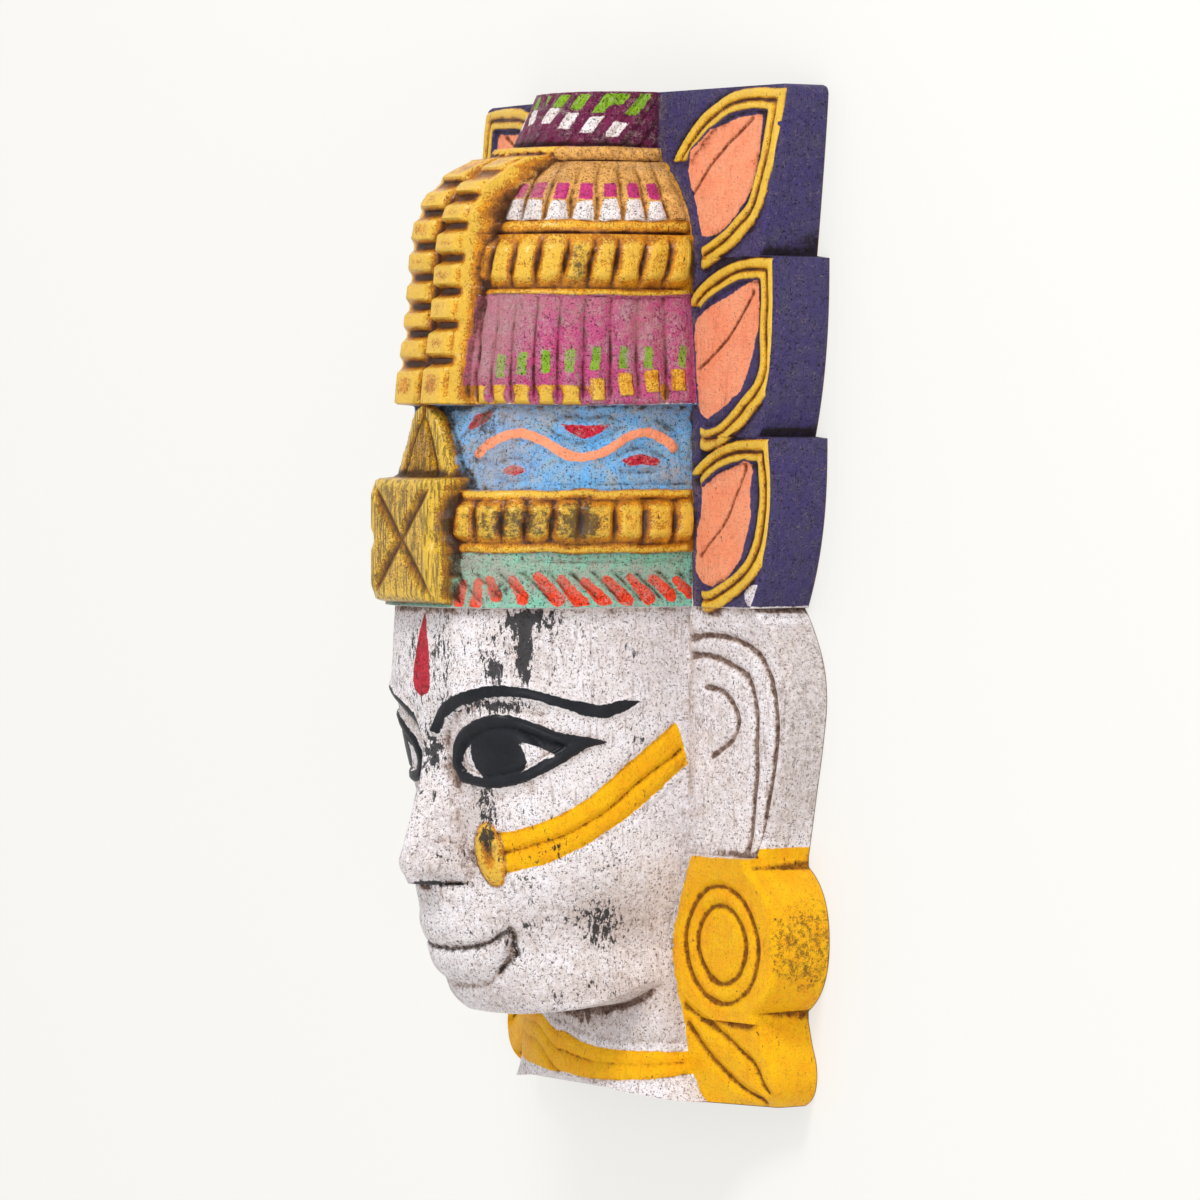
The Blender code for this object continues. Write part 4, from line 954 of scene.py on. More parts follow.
# %% Collar, feathers, ears and earrings
CORAL_HEARTS = (
    ((111.3, 216.8), (93.6, 215.7), (74.6, 211.5), (62.5, 202.4), (59.3, 193.4), (62.9, 184.1),
     (68.5, 175.3), (73.5, 162.5), (84.6, 163.1), (98.6, 171.3), (109.5, 184.6), (112, 194.2),
     (112.3, 208.6)),
    ((116.2, 143), (99.4, 137.5), (83, 131.5), (71.1, 125.8), (68.1, 120.8), (70.6, 104.5),
     (69.2, 94.1), (73.6, 83.2), (78.3, 80), (94.1, 87.1), (104.1, 92.5), (108.6, 104.1),
     (112.1, 111.5), (116.6, 122.8), (116, 135.4)),
    ((108.3, 61.5), (85.9, 54.9), (74.9, 48.7), (74.2, 41.5), (70.5, 30.1), (70.5, 21.9),
     (69.6, 11.5), (74.9, 6.2), (81.8, 4.5), (91.8, 7.4), (102.1, 16.6), (107, 27.4),
     (110.6, 36.4), (110.2, 48.5), (113.3, 59.7)),
)
EARRING = ((140, -117.3), (69, -117.6), (66.5, -121), (63, -129.1), (58.7, -138.4), (53.2, -156.9),
           (49, -166.3), (56, -177.3), (60.2, -188.3), (61.5, -200), (63.5, -216), (66, -240),
           (140, -240))


def paint_neck(layers, share, up, collar_rise):
    """Collar of the neck."""
    top, foot = collar_edges(share, collar_rise)
    painted_foot = foot - 0.8 * collar_rise * ease(share / COLLAR_TURN)
    layers["yellow"] = between(up, painted_foot, top)
    # dust, and painted shade under the jaw, above the collar's top
    layers["dust"] = 0.2 + 0.9 * ease((up - top) / 6.0)
    # less painted shade in the neck's deep corners
    layers["depth"] = layers["depth"] * 0.3


def paint_ground(layers, x, up, root):
    """Colours of the flat ground beside the head."""
    layers["indigo"] = up + 4.5
    for leaf, heart, (mouth_x, mouth_y) in zip(LEAVES, CORAL_HEARTS, LEAF_MOUTHS):
        depth_in = inside(x, up, path(leaf + leaf[:1], 48))
        heart_in = inside(x, up, np.array(heart))
        mouth = np.maximum(x - mouth_x, up - mouth_y)
        rim = np.minimum.reduce([depth_in + 0.8, 8.6 - depth_in, -heart_in - 1.0, mouth])
        layers["gold"] = np.maximum(layers["gold"], rim)
        layers["coral"] = np.maximum(layers["coral"], heart_in)
    layers["yellow"] = inside(np.minimum(x, 136.0), up, np.array(EARRING))
    ragged = up + 4.5 - 1.6 * wander(x, up, 6.0, 91)
    layers["chip"] = np.minimum(5.4 - np.hypot((x - 114.5) / 1.5, up - 0.5), ragged)
    layers["shine"] = np.maximum(layers["gold"], layers["yellow"])
    layers["gilt"] = layers["gold"]
    # painted shade of deep corners: none beside the head, more further out
    layers["depth"] = 0.6 * ease((x - root) / 6.0)
    # dust and painted shade along the foot of the head, and dust over the ears
    layers["dust"] = 0.7 * np.exp(-((x - root) / 5.0) ** 2) + 0.5 * ease((-6.0 - up) / 6.0)
    # a thin darker line where the ground meets the head
    layers["grime"] += 0.25 * np.exp(-((x - root - 0.5) / 1.6) ** 2)


def paint_sides(layers, up, out):
    """Colours of the ground's side walls."""
    layers["indigo"] = up + 4.0 - 1.2 * wander(out, up, 9.0, 93)
    layers["yellow"] = -112.4 - up
    # painted shade: a broad darker band down the side walls by the ears
    layers["grime"] += 0.42 * np.exp(-((up + 55.0) / 50.0) ** 2)
    layers["grime"] += 0.75 * np.exp(-((up + 158.0) / 15.0) ** 2 - ((out - 12.0) / 9.0) ** 2)
    # thin darker lines a little above the two steps of the feather blocks
    layers["grime"] += 0.7 * np.exp(-((up - 157.0) / 3.0) ** 2) + 0.7 * np.exp(-((up - 76.0) / 3.0) ** 2)
    # dust and painted shade on the ears' side walls
    layers["dust"] = 1.1 * ease((-8.0 - up) / 6.0) * ease((up + 112.0) / 6.0)


print("feather hearts a side:", len(CORAL_HEARTS))

# %% [markdown]
# ## The carved surface as a grid of points
#
# Every row of the grid is one height. Across it the points run over the head, out over the ground,
# round its worn edge and down its side. The carving moves each point of the head along its own
# normal, and the neck takes over below the jaw. The same pass fills the paint's distances, so paint
# and carving can't drift apart.

# %% Rows of the grid
ROW_STEP = 0.9
HEAD_COLUMNS = 116
GROUND_COLUMNS = 58
ROUND_COLUMNS = 4
SIDE_COLUMNS = 8
LEDGE = 0.3


def row_heights():
    """Heights of the grid's rows: even ones, and a close pair at each ledge."""
    ledges = [FINIAL_FOOT, ROPE_FOOT, DOME_FOOT, LINE_FOOT, RING_FOOT, RIM_FOOT, PLEAT_FOOT]
    ledges += [BLUE_FOOT, GOLD_FOOT, CROWN_FOOT, EAR_FOOT, DISC_FOOT, JEWEL_TOP, NOSE_FOOT]
    ledges += [top - LEDGE for top, *_ in FEATHER_BLOCKS[1:]]
    pairs = np.array([height + side * LEDGE for height in ledges for side in (-1, 1)])
    even = np.linspace(BOTTOM, TOP, int((TOP - BOTTOM) / ROW_STEP) + 1)
    clear = np.min(np.abs(even[:, None] - pairs[None, :]), axis=1) > 0.45 * ROW_STEP
    clear[[0, -1]] = True
    return np.sort(np.concatenate([even[clear], pairs]))


print("rows:", len(row_heights()))

# %% Points of the head and the neck
NECK_TOP = -165.0


def carve_head(up, seed, crest_cuts):
    """Points of the head's rows and what the paint needs to know about them."""
    shares = np.linspace(0.0, 1.0, HEAD_COLUMNS + 1)[None, :]
    root_x, root_z = root_width(up), root_depth(up)
    across, out, length = arc_shares(root_x, root_z, front_depth(up), squareness(up), shares[0])
    along = shares * length
    rise_x, rise_z = np.gradient(across, axis=1), np.gradient(out, axis=1)
    size = np.hypot(rise_x, rise_z) + 1e-9
    normal_x, normal_z = -rise_z / size, rise_x / size
    normal_x[:, 0], normal_z[:, 0] = 0.0, 1.0

    wide = np.broadcast_to(up[:, None], across.shape)
    share = np.broadcast_to(shares, across.shape)
    hand = ease(along / 8.0)
    drawn_a = along + 0.55 * hand * wander(along, wide, 10.0, seed)
    loose = 0.4 + 0.4 * (wide > CROWN_FOOT + 3.0)
    drawn_y = wide + loose * hand * wander(along, wide, 12.0, seed + 1)
    relief = np.where(wide > CROWN_FOOT, crown_relief(drawn_a, drawn_a / length, drawn_y), 0.0)
    in_blue = (wide > BLUE_FOOT + 2.0) & (wide < PLEAT_FOOT - 1.0)
    relief = relief + np.where(in_blue, blue_band_cuts(drawn_a, drawn_y), 0.0)
    face = face_relief(drawn_a, drawn_y) + lips_relief(drawn_a, drawn_y)
    face = face + wing_relief(drawn_a, drawn_y)
    relief = relief + np.where(wide < CROWN_FOOT - 6.0, face, 0.0)
    relief = relief + 0.35 * hand * wander(along, wide, 14.0, seed + 2)
    relief = relief + 0.4 * (loose - 0.2) * hand * wander(along, wide, 3.2, seed + 3)
    relief = relief * ease((1.0 - share) * length / 3.0)
    across = across + relief * normal_x
    out = out + relief * normal_z

    swell = nose_rise(across, wide) + muzzle_rise(across, wide)
    out = out + np.where(wide < NOSE_TOP, swell, 0.0)
    crest = crest_surface(across, wide, crest_cuts)
    out = stand_boss(out, across, wide, crest, CREST_HALF_WIDTH, CREST_TOP, PLEAT_FOOT)
    heart = np.maximum(petal_half(wide) - PETAL_BORDER, 0.0)
    petal = out + PETAL_RISE - 1.6 * notch(np.abs(across) - heart, 2.4)
    in_petal = (wide > BLUE_FOOT) & (wide < PLEAT_FOOT)
    # both limits lie outside the blue band, whose own edges cut the petal off
    raised = stand_boss(out, across, wide, petal, petal_half(wide), 90.0, 40.0)
    out = np.where(in_petal, raised, out)
    jewel = jewel_surface(across, wide)
    out = stand_boss(out, across, wide, jewel, JEWEL_HALF_WIDTH, JEWEL_TOP, JEWEL_FOOT)
    return across, out, drawn_a, drawn_y, share


def carve_neck(up, share, root_z, collar_rise):
    """Points of the neck's rows, which take over below the jaw."""
    neck_root = root_width(np.minimum(up, NECK_TOP))
    x, z, length = arc_shares(neck_root, root_z, np.full_like(up, NECK_FRONT), np.full_like(up, 2.1),
                              share[0])
    rows = np.broadcast_to(up[:, None], x.shape)
    cut = collar_cuts(share, rows, collar_rise) * ease((1.0 - share) * length / 3.0)
    return x + cut * share, rows + NECK_LIFT * (1.0 - share) ** 1.2, z + cut * (1.0 - share)


print("columns of the head:", HEAD_COLUMNS + 1)

# %% The flat ground, its edge and its side wall
LOW_PENDANT = -205.0


def carve_ground(up, seed, root_x, edge_x, edge_z, radius, collar_rise):
    """Points of the flat ground's rows, from the head to the rounded edge, and their paint."""
    start, end = root_x[:, None], edge_x[:, None]
    steps = np.linspace(0.0, 1.0, GROUND_COLUMNS + 1)[None, 1:]
    x = start + (end - radius[:, None] - start) * steps
    y = np.broadcast_to(up[:, None], x.shape)
    root_z = root_depth(up)[:, None]
    z = root_z + (edge_z[:, None] - root_z) * steps
    drawn_x = x + 0.5 * wander(x, y, 11.0, seed + 4)
    drawn_y = y + 0.5 * wander(x, y, 13.0, seed + 5)
    fade = ease((x - start) / 2.5) * ease((end - x) / 2.5)
    rough = 0.25 * wander(x, y, 9.0, seed + 6) + 0.1 * wander(x, y, 3.0, seed + 7)
    z = z + (ground_relief(drawn_x, drawn_y) + rough) * fade
    layers = blank(x.shape)
    # on the narrower pendant the yellow reaches further in
    painted_x = drawn_x + 0.5 * collar_rise * (drawn_y < LOW_PENDANT)
    paint_ground(layers, painted_x, drawn_y, start)
    return x, y, z, layers


def carve_wall(up, edge_x, edge_z, radius):
    """Points of the rounded edge and the side wall, down to the back, and their paint."""
    turn = np.linspace(0.0, np.pi / 2, ROUND_COLUMNS + 2)[None, 1:]
    round_x = (edge_x - radius)[:, None] + radius[:, None] * np.sin(turn)
    round_z = (edge_z - radius)[:, None] + radius[:, None] * np.cos(turn)
    down = np.linspace(1.0, 0.0, SIDE_COLUMNS + 1)[None, 1:]
    side_z = (edge_z - radius)[:, None] * down
    side_x = np.broadcast_to(edge_x[:, None], side_z.shape)
    x = np.concatenate([round_x, side_x], axis=1)
    z = np.concatenate([round_z, side_z], axis=1)
    y = np.broadcast_to(up[:, None], x.shape)
    layers = blank(x.shape)
    paint_sides(layers, y, z)
    return x, y, z, layers


print("columns beside it:", GROUND_COLUMNS + ROUND_COLUMNS + 1 + SIDE_COLUMNS)

# %% One side of the mask, with its paint
# grime, and painted shade beside the crest, the petal and the jewel and under the rope
HEAD_GRIME_AND_SHADE = (
    # each spot's place along the row and height, its two sizes, and its strength
    (29, 150, 6, 18, 0.4), (30, 112, 6, 22, 0.1), (34, 78, 9, 8, 0.8), (32, 60, 7, 12, 0.6),
    (140, 70, 9, 20, 0.7), (70, 149, 7, 14, 0.85), (58, 34, 30, 11, 1.0), (88, 34, 9, 13, 0.9),
    (34, 10, 7, 12, 0.6), (52, 4, 6, 6, 0.8), (48, 112, 10, 26, 0.35), (78, 112, 4, 24, 0.5),
    (146, 8, 6, 12, 0.6), (70, 196, 50, 4, 0.2), (30, 178, 8, 12, 0.3),
)


def head_grime_and_shade(along, share, up):
    """Darker on the head: a line by the ground, painted shade round the crest and the jewel, and smudged
    old gold.
    """
    return 0.25 * np.exp(-((1.0 - share) / 0.015) ** 2) + smudges(along, up, HEAD_GRIME_AND_SHADE)


def carve_side(up, side, pendant_trim, crest_cuts, collar_rise):
    """One side of the mask: its points in drawn millimetres and its layers of paint."""
    seed = 10 if side > 0 else 50
    rows = up[:, None]
    across, out, along, drawn_y, share = carve_head(up, seed, crest_cuts)
    root_x, root_z = root_width(up), root_depth(up)
    neck = neck_blend(share, rows)
    neck_x, neck_y, neck_z = carve_neck(up, share, root_z, collar_rise)
    across = across + neck * (neck_x - across)
    out = out + neck * (neck_z - out)
    height = rows + neck * (neck_y - rows)

    crown, face, throat = blank(across.shape), blank(across.shape), blank(across.shape)
    paint_crown(crown, along, share, across, drawn_y)
    paint_face(face, along, side * across, drawn_y)
    paint_neck(throat, share, np.broadcast_to(rows, across.shape), collar_rise)
    in_crown = np.broadcast_to(rows > CROWN_FOOT, across.shape)
    # how much painted shade the deep corners get: little on the face, more on the crown
    face["depth"] = face["depth"] * 0.05
    crown["depth"] = crown["depth"] * 0.85
    head = {name: np.where(in_crown, crown[name], np.where(neck > 0.5, throat[name], face[name]))
            for name in PAINTS}
    head["depth"] = head["depth"] * ease((1.0 - share) / 0.06 - 0.4)
    # weaker painted shade in the cuts where the jaw meets the neck
    head["crease"] = 1.0 - 0.92 * hump(neck - 0.5, 0.6)
    # grime, and painted shade round the crown's raised pieces
    head["grime"] = head["grime"] + head_grime_and_shade(along, share, drawn_y)

    edge_x, edge_z, radius = half_width(up, pendant_trim), edge_depth(up), edge_round(up)
    *ground_points, ground = carve_ground(up, seed, root_x, edge_x, edge_z, radius, collar_rise)
    *wall_points, wall = carve_wall(up, edge_x, edge_z, radius)
    joined = zip((across, height, out), ground_points, wall_points)
    x, y, z = (np.concatenate(parts, axis=1) for parts in joined)
    points = np.stack([side * x, y, z], axis=-1)
    layers = {n: np.concatenate([head[n], ground[n], wall[n]], axis=1) for n in PAINTS}
    return points, layers


print("columns a side:", HEAD_COLUMNS + 1 + GROUND_COLUMNS + ROUND_COLUMNS + 1 + SIDE_COLUMNS)

# %% [markdown]
# ## Hollows and ridges
#
# The paint is darker in the cuts, with old dirt and painted shade, and the gold has painted
# highlights on its ridges. Both are found by comparing the surface with a smoothed copy of itself:
# where it lies below the copy it is a hollow. Two sizes of smoothing catch both the fine cuts and
# the deep corners, which get more painted shade.

# %% Compare the surface with a smoothed copy
def smoothed(points, reach):
    """Average each point with its neighbours on the grid, three times over."""
    for axis in (0, 1):
        for _ in range(3):
            padding = [(reach, reach) if k == axis else (0, 0) for k in range(3)]
            summed = np.cumsum(np.pad(points, padding, mode="edge"), axis=axis)
            summed = np.insert(summed, 0, 0.0, axis=axis)
            count = 2 * reach + 1
            high = np.take(summed, range(count, summed.shape[axis]), axis=axis)
            low = np.take(summed, range(0, summed.shape[axis] - count), axis=axis)
            points = (high - low) / count
    return points


def ridges(points, reach):
    """Height of each point over the smoothed surface, in millimetres."""
    step_x, step_y = np.gradient(points, axis=1), np.gradient(points, axis=0)
    normal = np.cross(step_x, step_y)
    normal = normal / (np.linalg.norm(normal, axis=-1, keepdims=True) + 1e-9)
    return np.sum((points - smoothed(points, reach)) * normal, axis=-1)


# %% Join both sides
def full_surface(up):
    """Both sides as points in drawn millimetres with their paint, from one back edge to the other."""
    left, left_paint = carve_side(up, -1.0, PENDANT_TRIM, CREST_CUTS[0], COLLAR_RISE)
    right, right_paint = carve_side(up, 1.0, 0.0, CREST_CUTS[1], 0.0)
    points = np.concatenate([left[:, :0:-1], right], axis=1)
    layers = {n: np.concatenate([left_paint[n][:, :0:-1], right_paint[n]], axis=1) for n in PAINTS}
    columns = np.abs(np.arange(points.shape[1]) - points.shape[1] // 2)
    beside = np.exp(-((columns - HEAD_COLUMNS) / 2.5) ** 2)
    # fine: cuts and ridges, for old dirt, painted shade and painted highlights; broad: deep corners, for
    # painted shade
    layers["fine"] = ridges(points, 2) * (1.0 - 0.75 * beside) * layers.pop("crease")
    layers["broad"] = ridges(points, 8) * layers.pop("depth")
    return points, layers


surface, paint_layers = full_surface(row_heights())
print("grid:", surface.shape[:2], "highest", round(float(surface[..., 2].max()), 1), "mm")
print("fine ridges from", round(float(paint_layers["fine"].min()), 2), "to",
      round(float(paint_layers["fine"].max()), 2), "mm")

# %% [markdown]
# ## From points to a solid mesh
#
# The grid operator makes the faces, every corner moves to its point, and the two long edges on the
# back are bridged, so the mask is one closed body like the wood. Decimate then thins it: flat
# places keep few faces and the carving keeps many. The paint's numbers are thinned with it.

# %% Lay the grid over the surface
def grid_mesh(name, points, layers):
    """A closed mesh of the carved grid that carries its paint."""
    rows, columns = points.shape[:2]
    scale = np.array([WIDTH / DRAWN_WIDTH, HEIGHT / DRAWN_HEIGHT, DEPTH / DRAWN_DEPTH])
    metres = points * scale
    bm = bmesh.new()
    bmesh.ops.create_grid(bm, x_segments=columns - 1, y_segments=rows - 1, size=1.0)
    places = []
    for vertex in bm.verts:
        column = round((vertex.co.x + 1.0) * 0.5 * (columns - 1))
        row = round((vertex.co.y + 1.0) * 0.5 * (rows - 1))
        places.append(row * columns + column)
        vertex.co = metres[row, column]
    rims = [edge for edge in bm.edges if edge.is_boundary]
    long_sides = [e for e in rims if abs(e.verts[0].co.z) < 1e-7 and abs(e.verts[1].co.z) < 1e-7]
    bmesh.ops.bridge_loops(bm, edges=long_sides)
    open_ends = [edge for edge in bm.edges if edge.is_boundary]
    bmesh.ops.holes_fill(bm, edges=open_ends, sides=0)
    bmesh.ops.triangulate(bm, faces=bm.faces[:], ngon_method="EAR_CLIP")
    bmesh.ops.recalc_face_normals(bm, faces=bm.faces[:])
    mesh = bpy.data.meshes.new(name)
    bm.to_mesh(mesh)
    bm.free()
    for layer, values in layers.items():
        attribute = mesh.attributes.new(layer, "FLOAT", "POINT")
        attribute.data.foreach_set("value", values.ravel()[places].astype(np.float32))
    return mesh


MOST_TRIANGLES = 192000
raw = bpy.data.objects.new("raw_grid", grid_mesh("raw_grid", surface, paint_layers))
bpy.context.scene.collection.objects.link(raw)
print("triangles before thinning:", len(raw.data.polygons))

# %% Thin it, smooth its shading and keep the chisel's corners sharp
SHARP_CORNER = math.radians(48)

thin = raw.modifiers.new("thin", "DECIMATE")
thin.decimate_type = "COLLAPSE"
thin.ratio = MOST_TRIANGLES / len(raw.data.polygons)
graph = bpy.context.evaluated_depsgraph_get()
seen = raw.evaluated_get(graph)
carved = bpy.data.meshes.new_from_object(seen, preserve_all_data_layers=True, depsgraph=graph)
bpy.data.objects.remove(raw, do_unlink=True)
carved.name = "carved_mask"

bm = bmesh.new()
bm.from_mesh(carved)
for face in bm.faces:
    face.smooth = True
for edge in bm.edges:
    edge.smooth = edge.calc_face_angle(0.0) < SHARP_CORNER
bm.to_mesh(carved)
bm.free()
mask = bpy.data.objects.new("carved_mask", carved)
bpy.context.scene.collection.objects.link(mask)
print("carved mask:", len(carved.polygons), "triangles,", len(carved.attributes), "attributes")

# %% [markdown]
# ## Shader maths that reads like sums
#
# The material needs many small sums on noise and on the paint's distances. A class that wraps one
# socket lets them be written as Python expressions, and one method adds every other node.

# %% Wires and a board to plug them into
class Wire:
    """One output of a node; sums on it add Math nodes."""

    def __init__(self, board, socket):
        self.board = board
        self.socket = socket

    def sum(self, operation, first, second, clamp=False):
        settings = {"operation": operation, "use_clamp": clamp}
        return self.board.add("ShaderNodeMath", settings, {0: first, 1: second})

    def __add__(self, other):
        return self.sum("ADD", self, other)

    def __sub__(self, other):
        return self.sum("SUBTRACT", self, other)

    def __rsub__(self, other):
        return self.sum("SUBTRACT", other, self)

    def __mul__(self, other):
        return self.sum("MULTIPLY", self, other)

    __radd__ = __add__
    __rmul__ = __mul__

    def clamped(self):
        return self.sum("ADD", self, 0.0, clamp=True)


class Board:
    """The nodes of one material."""

    def __init__(self, name):
        self.material = bpy.data.materials.new(name)
        self.material.use_nodes = True
        self.tree = self.material.node_tree
        self.shader = self.tree.nodes["Principled BSDF"]

    def add(self, kind, settings, sockets, output=0):
        """A node with its settings first and then its sockets' values or wires."""
        node = self.tree.nodes.new(kind)
        for name, value in settings.items():
            setattr(node, name, value)
        for name, value in sockets.items():
            self.plug(node.inputs[name], value)
        return Wire(self, node.outputs[output])

    def plug(self, socket, value):
        if isinstance(value, Wire):
            self.tree.links.new(value.socket, socket)
        else:
            socket.default_value = value

    def mix(self, factor, first, second, blend="MIX"):
        """Mix two colours."""
        settings = {"data_type": "RGBA", "blend_type": blend}
        return self.add("ShaderNodeMix", settings, {0: factor, 6: first, 7: second}, output=2)

    def layer(self, name):
        """A number that the mesh carries."""
        return self.add("ShaderNodeAttribute", {"attribute_name": name}, {}, output=2)


def srgb(code):
    """A screen colour, such as F0E0D0, in the renderer's own numbers."""
    parts = [int(code[k:k + 2], 16) / 255.0 for k in (0, 2, 4)]
    return tuple(p / 12.92 if p <= 0.04045 else ((p + 0.055) / 1.055) ** 2.4 for p in parts) + (1.0,)


print("chalk white as numbers:", [round(v, 3) for v in srgb("EDE6E2")])

# %% [markdown]
# ## Noise at the scales of paint, brush and wood
#
# Eight patterns do all the ageing. Grain and crackle are the finest, crust and patch are broader,
# hair and chisel are drawn out along the mask as a brush and a blade leave them, fleck decides
# where paint has come off, and ragged makes the colours' edges uneven. They read Object coordinates
# in metres, so they stay put on the mask and keep their size.

# %% Patterns on the mask's own coordinates
NOISES = {
    # lumps in a metre across the mask, detail, roughness, and the share of those lumps along it
    "ragged": (420.0, 2.0, 0.55, 1.0),
    "crackle": (650.0, 4.0, 0.7, 1.0),
    "hair": (520.0, 3.0, 0.65, 0.16),
    "patch": (110.0, 4.0, 0.65, 1.0),
    "fleck": (520.0, 4.0, 0.75, 0.4),
    "chisel": (700.0, 2.0, 0.6, 0.1),
    "grain": (1300.0, 3.0, 0.75, 1.0),
    "crust": (300.0, 5.0, 0.8, 1.0),
}


def patterns(board):
    """The place on the mask and the noise patterns that the paint's ageing is made of."""
    found = {"place": board.add("ShaderNodeTexCoord", {}, {}, output=3)}
    for name, (scale, detail, roughness, along_share) in NOISES.items():
        scaling = {"Vector": found["place"], "Scale": (1.0, along_share, 1.0)}
        moved = board.add("ShaderNodeMapping", {}, scaling)
        sockets = {"Vector": moved, "Scale": scale, "Detail": detail, "Roughness": roughness}
        found[name] = board.add("ShaderNodeTexNoise", {}, sockets)
    return found


def edge(distance_in, softness):
    """One inside a patch and nought outside it, across a narrow edge."""
    return (distance_in * (1.0 / softness) + 0.5).clamped()


def over(value, low, high):
    """Nought below one level and one above another."""
    return ((value - low) * (1.0 / (high - low))).clamped()


print("noise patterns:", len(NOISES))

# %% [markdown]
# ## The painted wood
#
# The colours go on in the painter's order: white first, then each one over those before it. The
# gold rims of the feathers are painted after the indigo. Every colour has a fresh and a worn tone,
# and a broad pattern mixes the two, because old paint is never one flat colour.

# %% Colours in the painter's order
TINTS = (
    ("sky", "70B8F6", "90B2CA"), ("teal", "88D4BA", "92B6A8"), ("magenta", "CC4C86", "B45C86"),
    ("maroon", "7A2450", "52183A"), ("gold", "F6A208", "CC7C08"), ("straw", "FABE6A", "CC9248"),
    ("chalk", "FCF6F8", "E6DAD6"), ("pink", "DC3688", "B02C6C"), ("green", "8ABA1C", "6C961A"),
    ("indigo", "443A6E", "4C4668"), ("gold", "FFBA0A", "E09A08"), ("coral", "FFA67E", "FF966E"),
    ("crimson", "D6203A", "AC1A32"), ("vermilion", "FF4A24", "E63C1C"), ("yellow", "FFC000", "FCAC04"),
    ("olive", "D89E0C", "A2740C"), ("black", "0C0F18", "1E2028"), ("chip", "F4EEF2", "DCD2D8"),
)


def painted_colours(board, pattern):
    """All colours, each over the ones before it, with a ragged edge; gold again on the indigo."""
    wobble = (pattern["ragged"] - 0.5) * 1.6
    colour = board.mix(over(pattern["patch"], 0.35, 0.75), srgb("FCF7FC"), srgb("F0E6E4"))
    on_indigo = edge(board.layer("indigo"), 0.4)
    painted = []
    for name, fresh, worn in TINTS:
        cover = edge(board.layer(name) + wobble, 0.35)
        if name in painted:
            # a second coat of the same colour lies on the indigo alone
            cover = cover * on_indigo
        tone = board.mix(over(pattern["patch"], 0.38, 0.68), srgb(fresh), srgb(worn))
        colour = board.mix(cover, colour, tone)
        painted.append(name)
    return colour


print("coats of colour:", len(TINTS))

# %% [markdown]
# ### Age, painted highlights and painted shade
#
# Age comes last, in thin washes over the colours, each where its own pattern and the carving let
# it. Grit and brush marks lie on the pale paint, and a grey wash of dust that is also painted shade
# under the ledges, beside the raised pieces and under the jaw. The old gold is amber in patches, with
# painted highlights on its ridges, brown painted shade in its hollows, and cracks. Every hollow of
# the mask is browner with old dirt and painted shade, the deep corners take more painted shade, the
# jewel shows chisel strokes, the disc's side a stain, and dark flecks mark where paint has gone, with
# painted shade in thin lines under the nose.

# %% What the washes share
WASHES = {
    "grit": "6A5854", "brushed": "9A8272", "dust": "AC9486", "rubbed": "D2BCB8",
    "amber": "B05E04", "painted_glint": "FFD24A", "shaded": "7A440A", "cracks": "5A320C",
    "faint_grime_and_shade": "C0A084", "cut_grime_and_shade": "6E5242", "deep_corner_shade": "7A6250", "strokes": "55400A",
    "stain": "5E3A10", "dirt_and_shade": "2E2620", "flakes_and_shade": "1E1E22", "specks": "241E1A",
}


class Age:
    """The patterns about nought, and where the colours lie that age in their own way."""

    def __init__(self, board, pattern):
        self.board = board
        self.place = pattern["place"]
        self.crackle, self.crust = pattern["crackle"] - 0.5, pattern["crust"] - 0.5
        self.grain, self.patch = pattern["grain"] - 0.5, pattern["patch"] - 0.5
        self.hair, self.chisel = pattern["hair"] - 0.5, pattern["chisel"] - 0.5
        self.fleck = pattern["fleck"] - 0.5
        self.fine, self.broad = board.layer("fine"), board.layer("broad")
        self.unpainted = 1.0 - edge(board.layer("black"), 0.4)
        self.gilt = self.lies("gilt")
        self.golden = (self.gilt + self.lies("yellow") + self.lies("coral")).clamped()

    def lies(self, name):
        """One where a colour lies."""
        return edge(self.board.layer(name), 0.8)

    def wash(self, colour, cover, name, blend="MIX"):
        """A thin coat over the colours so far."""
        return self.board.mix(cover, colour, srgb(WASHES[name]), blend)


print("washes of age:", len(WASHES))

# %% Dust and painted shade on the paint, wear and painted highlights of the gold
def dust_and_shade_washes(age, colour):
    """Grit and brush marks, a grey dusting that is partly painted shade, and the rubbed colours of the
    crown.
    """
    crackle, crust, grain, patch = age.crackle, age.crust, age.grain, age.patch
    grit = over(crackle * -1.2 - grain * 1.1, 0.11, 0.21) * age.unpainted * (1.0 - age.golden * 0.7)
    colour = age.wash(colour, grit * 0.95, "grit", "MULTIPLY")
    brushed = over(age.hair + grain * 0.4, 0.08, 0.17) * age.unpainted * (1.0 - age.golden * 0.6)
    colour = age.wash(colour, brushed * 0.5, "brushed", "MULTIPLY")
    # dust, and painted shade under the ledges, beside the raised pieces and under the jaw
    dust = over(age.board.layer("dust") * 0.34 + crust * 1.4 + grain * 0.9, 0.10, 0.40)
    colour = age.wash(colour, dust * age.unpainted * (1.0 - age.golden) * 0.46, "dust")
    banded = age.lies("magenta") + age.lies("sky") + age.lies("teal") + age.lies("maroon")
    rubbed = over(crust + grain * 0.6 + patch * 0.5, 0.02, 0.20) * banded.clamped()
    return age.wash(colour, rubbed * (1.0 - age.golden) * 0.36, "rubbed")


